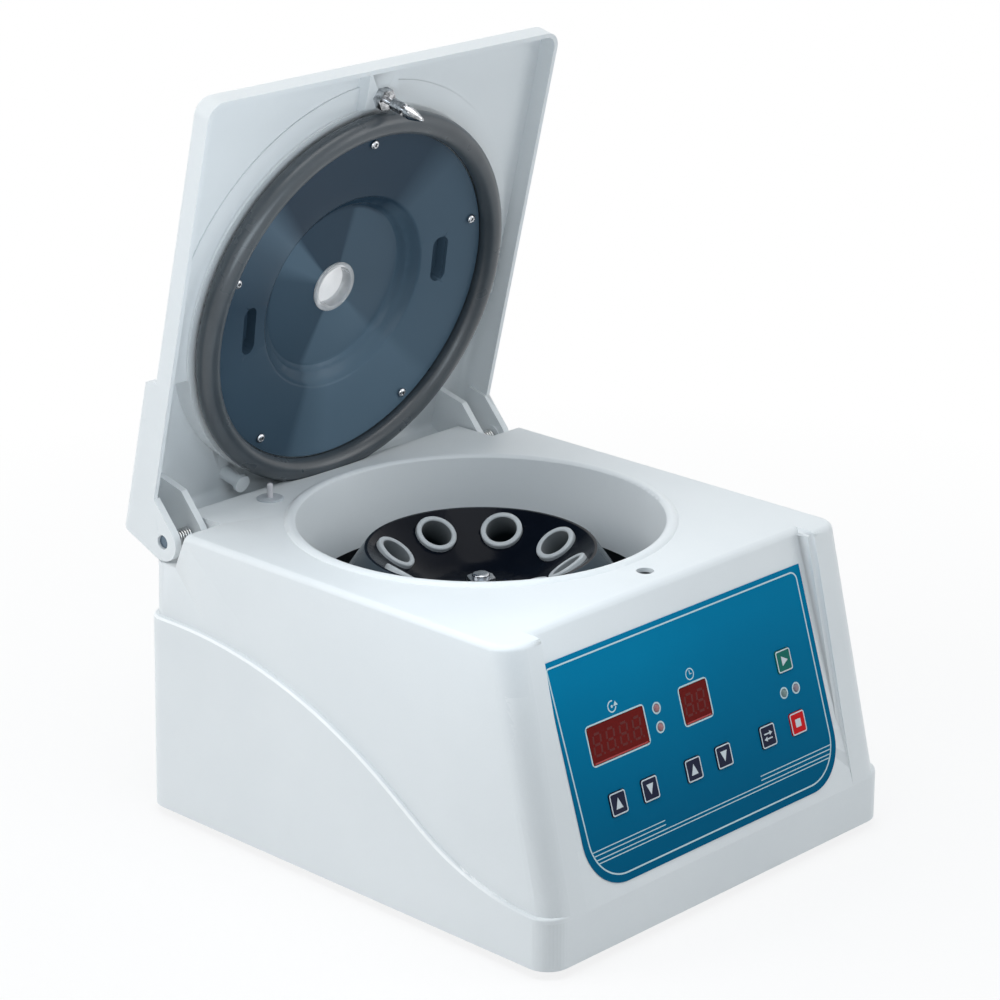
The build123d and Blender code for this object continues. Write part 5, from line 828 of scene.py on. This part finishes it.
for key, (x, y, kind) in KEYS.items():
    top = highest(key, PANEL)
    face = bmesh.new()
    outer = rounded(KEY_SIZE - 0.3, KEY_SIZE - 0.1, 1.6, 5, x, y)
    inner = rounded(KEY_SIZE - 1.9, KEY_SIZE - 1.7, 0.9, 5, x, y)
    band(face, outer, inner, top, INK)
    draw_sign(face, kind, x, y, top)
    settle(face, key + "_print", PANEL, body_of_node[key], "key_ink")
print(len(KEYS), "key faces")

# %% [markdown]
# ## Digits behind the red filters
# Unlit seven-segment digits still show as a slightly paler red. Seven short bars, slanted a little, are
# drawn for each place, with the point beside it. The filter's lower edge catches the light, and a brighter
# line along it is a painted highlight.

# %% Display digits
DIGIT_WIDTH = 6.4
DIGIT_HEIGHT = 13.0
DIGIT_BAR = 1.5
DIGIT_BAR_GAP = 0.9
DIGIT_SLANT = 0.12
DIGIT_INK = 0.04


def digit(shape, x, y, low):
    """Seven bars and a point, slanted."""
    w = DIGIT_WIDTH / 2
    h = DIGIT_HEIGHT / 2
    bars = [((-w, h), (w, h)), ((-w, 0), (w, 0)), ((-w, -h), (w, -h)), ((-w, 0), (-w, h)), ((w, 0), (w, h)),
            ((-w, -h), (-w, 0)), ((w, -h), (w, 0))]
    for (x0, y0), (x1, y1) in bars:
        length = math.hypot(x1 - x0, y1 - y0)
        dx = (x1 - x0) / length * DIGIT_BAR_GAP
        dy = (y1 - y0) / length * DIGIT_BAR_GAP
        ends = [(x0 + dx, y0 + dy), (x1 - dx, y1 - dy)]
        slanted = [(x + px + DIGIT_SLANT * py, y + py) for px, py in ends]
        stroke(shape, slanted, DIGIT_BAR, low, DIGIT_INK)
    fill(shape, arc_points(0.8, 0, 315, 7, x + w + 2.0 - DIGIT_SLANT * h, y - h), low, DIGIT_INK)


for name, (x, y, width, count) in DISPLAYS.items():
    top = highest(name, PANEL)
    bars = bmesh.new()
    for place in range(count):
        digit(bars, x + (place - (count - 1) / 2) * (width - 3) / count - 0.8, y, top)
    settle(bars, name + "_digits", PANEL, "housing", "digit_unlit")
    # A painted highlight along the filter's lower edge.
    edge = bmesh.new()
    foot = y - DISPLAY_HEIGHT / 2 + 0.7
    stroke(edge, [(x - width / 2 + 1.2, foot), (x + width / 2 - 1.2, foot)], 0.9, top, DIGIT_INK)
    settle(edge, name + "_edge", PANEL, "housing", "display_edge")
print("digits drawn on", len(DISPLAYS), "displays")

# %% [markdown]
# ## Crosses in the liner's screws
# A screw's recess is too fine for the solid, so its shade is painted. Each head's place is read from the
# screws' own mesh, one loose island to a screw, and a dark cross of painted shade lies on its crown.

# %% Screw crosses
def islands(mesh):
    """The vertices of each loose part of a mesh."""
    shape = bmesh.new()
    shape.from_mesh(mesh)
    found = []
    seen = set()
    for start in shape.verts:
        if start in seen:
            continue
        seen.add(start)
        group = [start]
        for vertex in group:
            for link in vertex.link_edges:
                other = link.other_vert(vertex)
                if other not in seen:
                    seen.add(other)
                    group.append(other)
        found.append([vertex.co.copy() for vertex in group])
    shape.free()
    return found


CROSS_REACH = 1.35
CROSS_WIDTH = 0.55
crosses = bmesh.new()
back = LID.inverted()
for number, island in enumerate(islands(skins["liner_screws"].data)):
    corners = [back @ corner for corner in island]
    crown = min(corner.z for corner in corners)
    x = sum(corner.x for corner in corners) / len(corners)
    y = sum(corner.y for corner in corners) / len(corners)
    turn = math.radians(20 + 37 * number)
    for quarter in (0, math.pi / 2):
        dx = CROSS_REACH * math.cos(turn + quarter)
        dy = CROSS_REACH * math.sin(turn + quarter)
        stroke(crosses, [(x - dx, y - dy), (x + dx, y + dy)], CROSS_WIDTH, crown - 0.02, 0.06)
# The dark crosses are painted shade for the screws' recesses.
settle(crosses, "screw_cross_shade", LID, "lid", "recess_dark")

# %% [markdown]
# ## Floor, light and camera
# The object stands on a wide pale floor in a studio tent. Soft boxes stand overhead, behind on the left and
# in front on the right, and a small one fills the open lid. The tent has a darker gap where the camera
# looks in, which gives the edges that face it their soft grey. The camera stands where the fit to the
# picture put it, with a long lens.

# %% Floor
def looked_at(tree):
    """1 for rays from the camera, from a reflection or through glass, and 0 for the rest."""
    ray = tree.nodes.new("ShaderNodeLightPath")
    value = ray.outputs["Is Camera Ray"]
    for label in ("Is Glossy Ray", "Is Transmission Ray"):
        either = tree.nodes.new("ShaderNodeMath")
        either.operation = "MAXIMUM"
        join(tree, value, either.inputs[0])
        join(tree, ray.outputs[label], either.inputs[1])
        value = either.outputs[0]
    return value


FLOOR_HALF = 30.0
FLOOR_GLOW = 0.80
floor_shape = bmesh.new()
bmesh.ops.create_grid(floor_shape, x_segments=1, y_segments=1, size=FLOOR_HALF)
floor_mesh = bpy.data.meshes.new("floor")
floor_shape.to_mesh(floor_mesh)
floor_shape.free()
floor = bpy.data.objects.new("floor", floor_mesh)
bpy.context.scene.collection.objects.link(floor)
paper = bpy.data.materials.new("floor_paper")
paper.use_nodes = True
paper_tree = paper.node_tree
paper_shader = paper_tree.nodes["Principled BSDF"]
paper_place = paper_tree.nodes.new("ShaderNodeTexCoord").outputs["Object"]
paper_mottle = noise(paper_tree, paper_place, 3.0)
paper_tone = mix_colour(paper_tree, paper_mottle, (0.93, 0.93, 0.935), (0.90, 0.905, 0.91))
join(paper_tree, paper_tone, paper_shader.inputs["Base Color"])
paper_shader.inputs["Roughness"].default_value = 0.9
glow = paper_tree.nodes.new("ShaderNodeEmission")
glow.inputs["Strength"].default_value = 1.0
far = spread(paper_tree, flat_distance(paper_tree, paper_place), 0.25, 0.9, FLOOR_GLOW, 1.0)
share = paper_tree.nodes.new("ShaderNodeMath")
share.operation = "MULTIPLY"
join(paper_tree, far, share.inputs[0])
join(paper_tree, looked_at(paper_tree), share.inputs[1])
lit = paper_tree.nodes.new("ShaderNodeMixShader")
join(paper_tree, share.outputs[0], lit.inputs[0])
join(paper_tree, paper_shader.outputs[0], lit.inputs[1])
join(paper_tree, glow.outputs[0], lit.inputs[2])
join(paper_tree, lit.outputs[0], paper_tree.nodes["Material Output"].inputs["Surface"])
floor_mesh.materials.append(paper)
print("floor laid")

# %% Light
GAP_WAY = (-0.69, -0.71, 0.12)
TENT_TONE = (0.84, 0.94, 1.0)
GAP_TONE = (0.06, 0.070, 0.076)
TENT_STRENGTH = 0.56
world = bpy.data.worlds.new("studio")
bpy.context.scene.world = world
world.use_nodes = True
world_tree = world.node_tree
sky = world_tree.nodes["Background"]
sky_way = world_tree.nodes.new("ShaderNodeTexCoord").outputs["Generated"]
towards = world_tree.nodes.new("ShaderNodeVectorMath")
towards.operation = "DOT_PRODUCT"
towards.inputs[1].default_value = GAP_WAY
join(world_tree, sky_way, towards.inputs[0])
gap = spread(world_tree, towards.outputs["Value"], 0.25, 0.85, 0.0, 1.0)
sky_tone = mix_colour(world_tree, gap, TENT_TONE, GAP_TONE)
join(world_tree, sky_tone, sky.inputs["Color"])
sky.inputs["Strength"].default_value = TENT_STRENGTH
white = world_tree.nodes.new("ShaderNodeBackground")
white.inputs["Color"].default_value = (1, 1, 1, 1)
white.inputs["Strength"].default_value = 1.0
choice = world_tree.nodes.new("ShaderNodeMixShader")
join(world_tree, looked_at(world_tree), choice.inputs[0])
join(world_tree, sky.outputs[0], choice.inputs[1])
join(world_tree, white.outputs[0], choice.inputs[2])
join(world_tree, choice.outputs[0], world_tree.nodes["World Output"].inputs["Surface"])


def lamp(name, place, target, size, energy, colour=(1, 1, 1)):
    """A square area lamp aimed at a point."""
    light = bpy.data.lights.new(name, "AREA")
    light.shape = "RECTANGLE"
    light.size, light.size_y = size
    light.energy = energy
    light.color = colour
    item = bpy.data.objects.new(name, light)
    item.location = place
    item.rotation_euler = (Vector(target) - Vector(place)).to_track_quat("-Z", "Y").to_euler()
    bpy.context.scene.collection.objects.link(item)
    return item


lamp("overhead", (-0.15, 0.0, 1.9), (0, 0, 0.2), (1.8, 1.4), 14.6)
lamp("left_box", (-1.75, 0.95, 0.95), (0, 0, 0.2), (1.2, 1.4), 15.0)
lamp("right_box", (1.35, -1.65, 0.95), (0, 0, 0.25), (1.0, 1.2), 8.0)
lamp("lid_fill", (-0.24, -0.20, 0.40), (0.10, 0.20, 0.26), (0.30, 0.14), 0.46, (0.80, 0.91, 1.0))

# %% Camera
lens = bpy.data.cameras.new("camera")
lens.sensor_width = 36.0
lens.lens = 121.6
lens.clip_start = 0.05
lens.clip_end = 60.0
camera = bpy.data.objects.new("camera", lens)
camera.location = (-1.4756, -1.4216, 0.9377)
camera.rotation_euler = (math.radians(70.65), 0, math.radians(-46.06))
bpy.context.scene.collection.objects.link(camera)
bpy.context.scene.camera = camera
bpy.context.scene.view_settings.view_transform = "Standard"
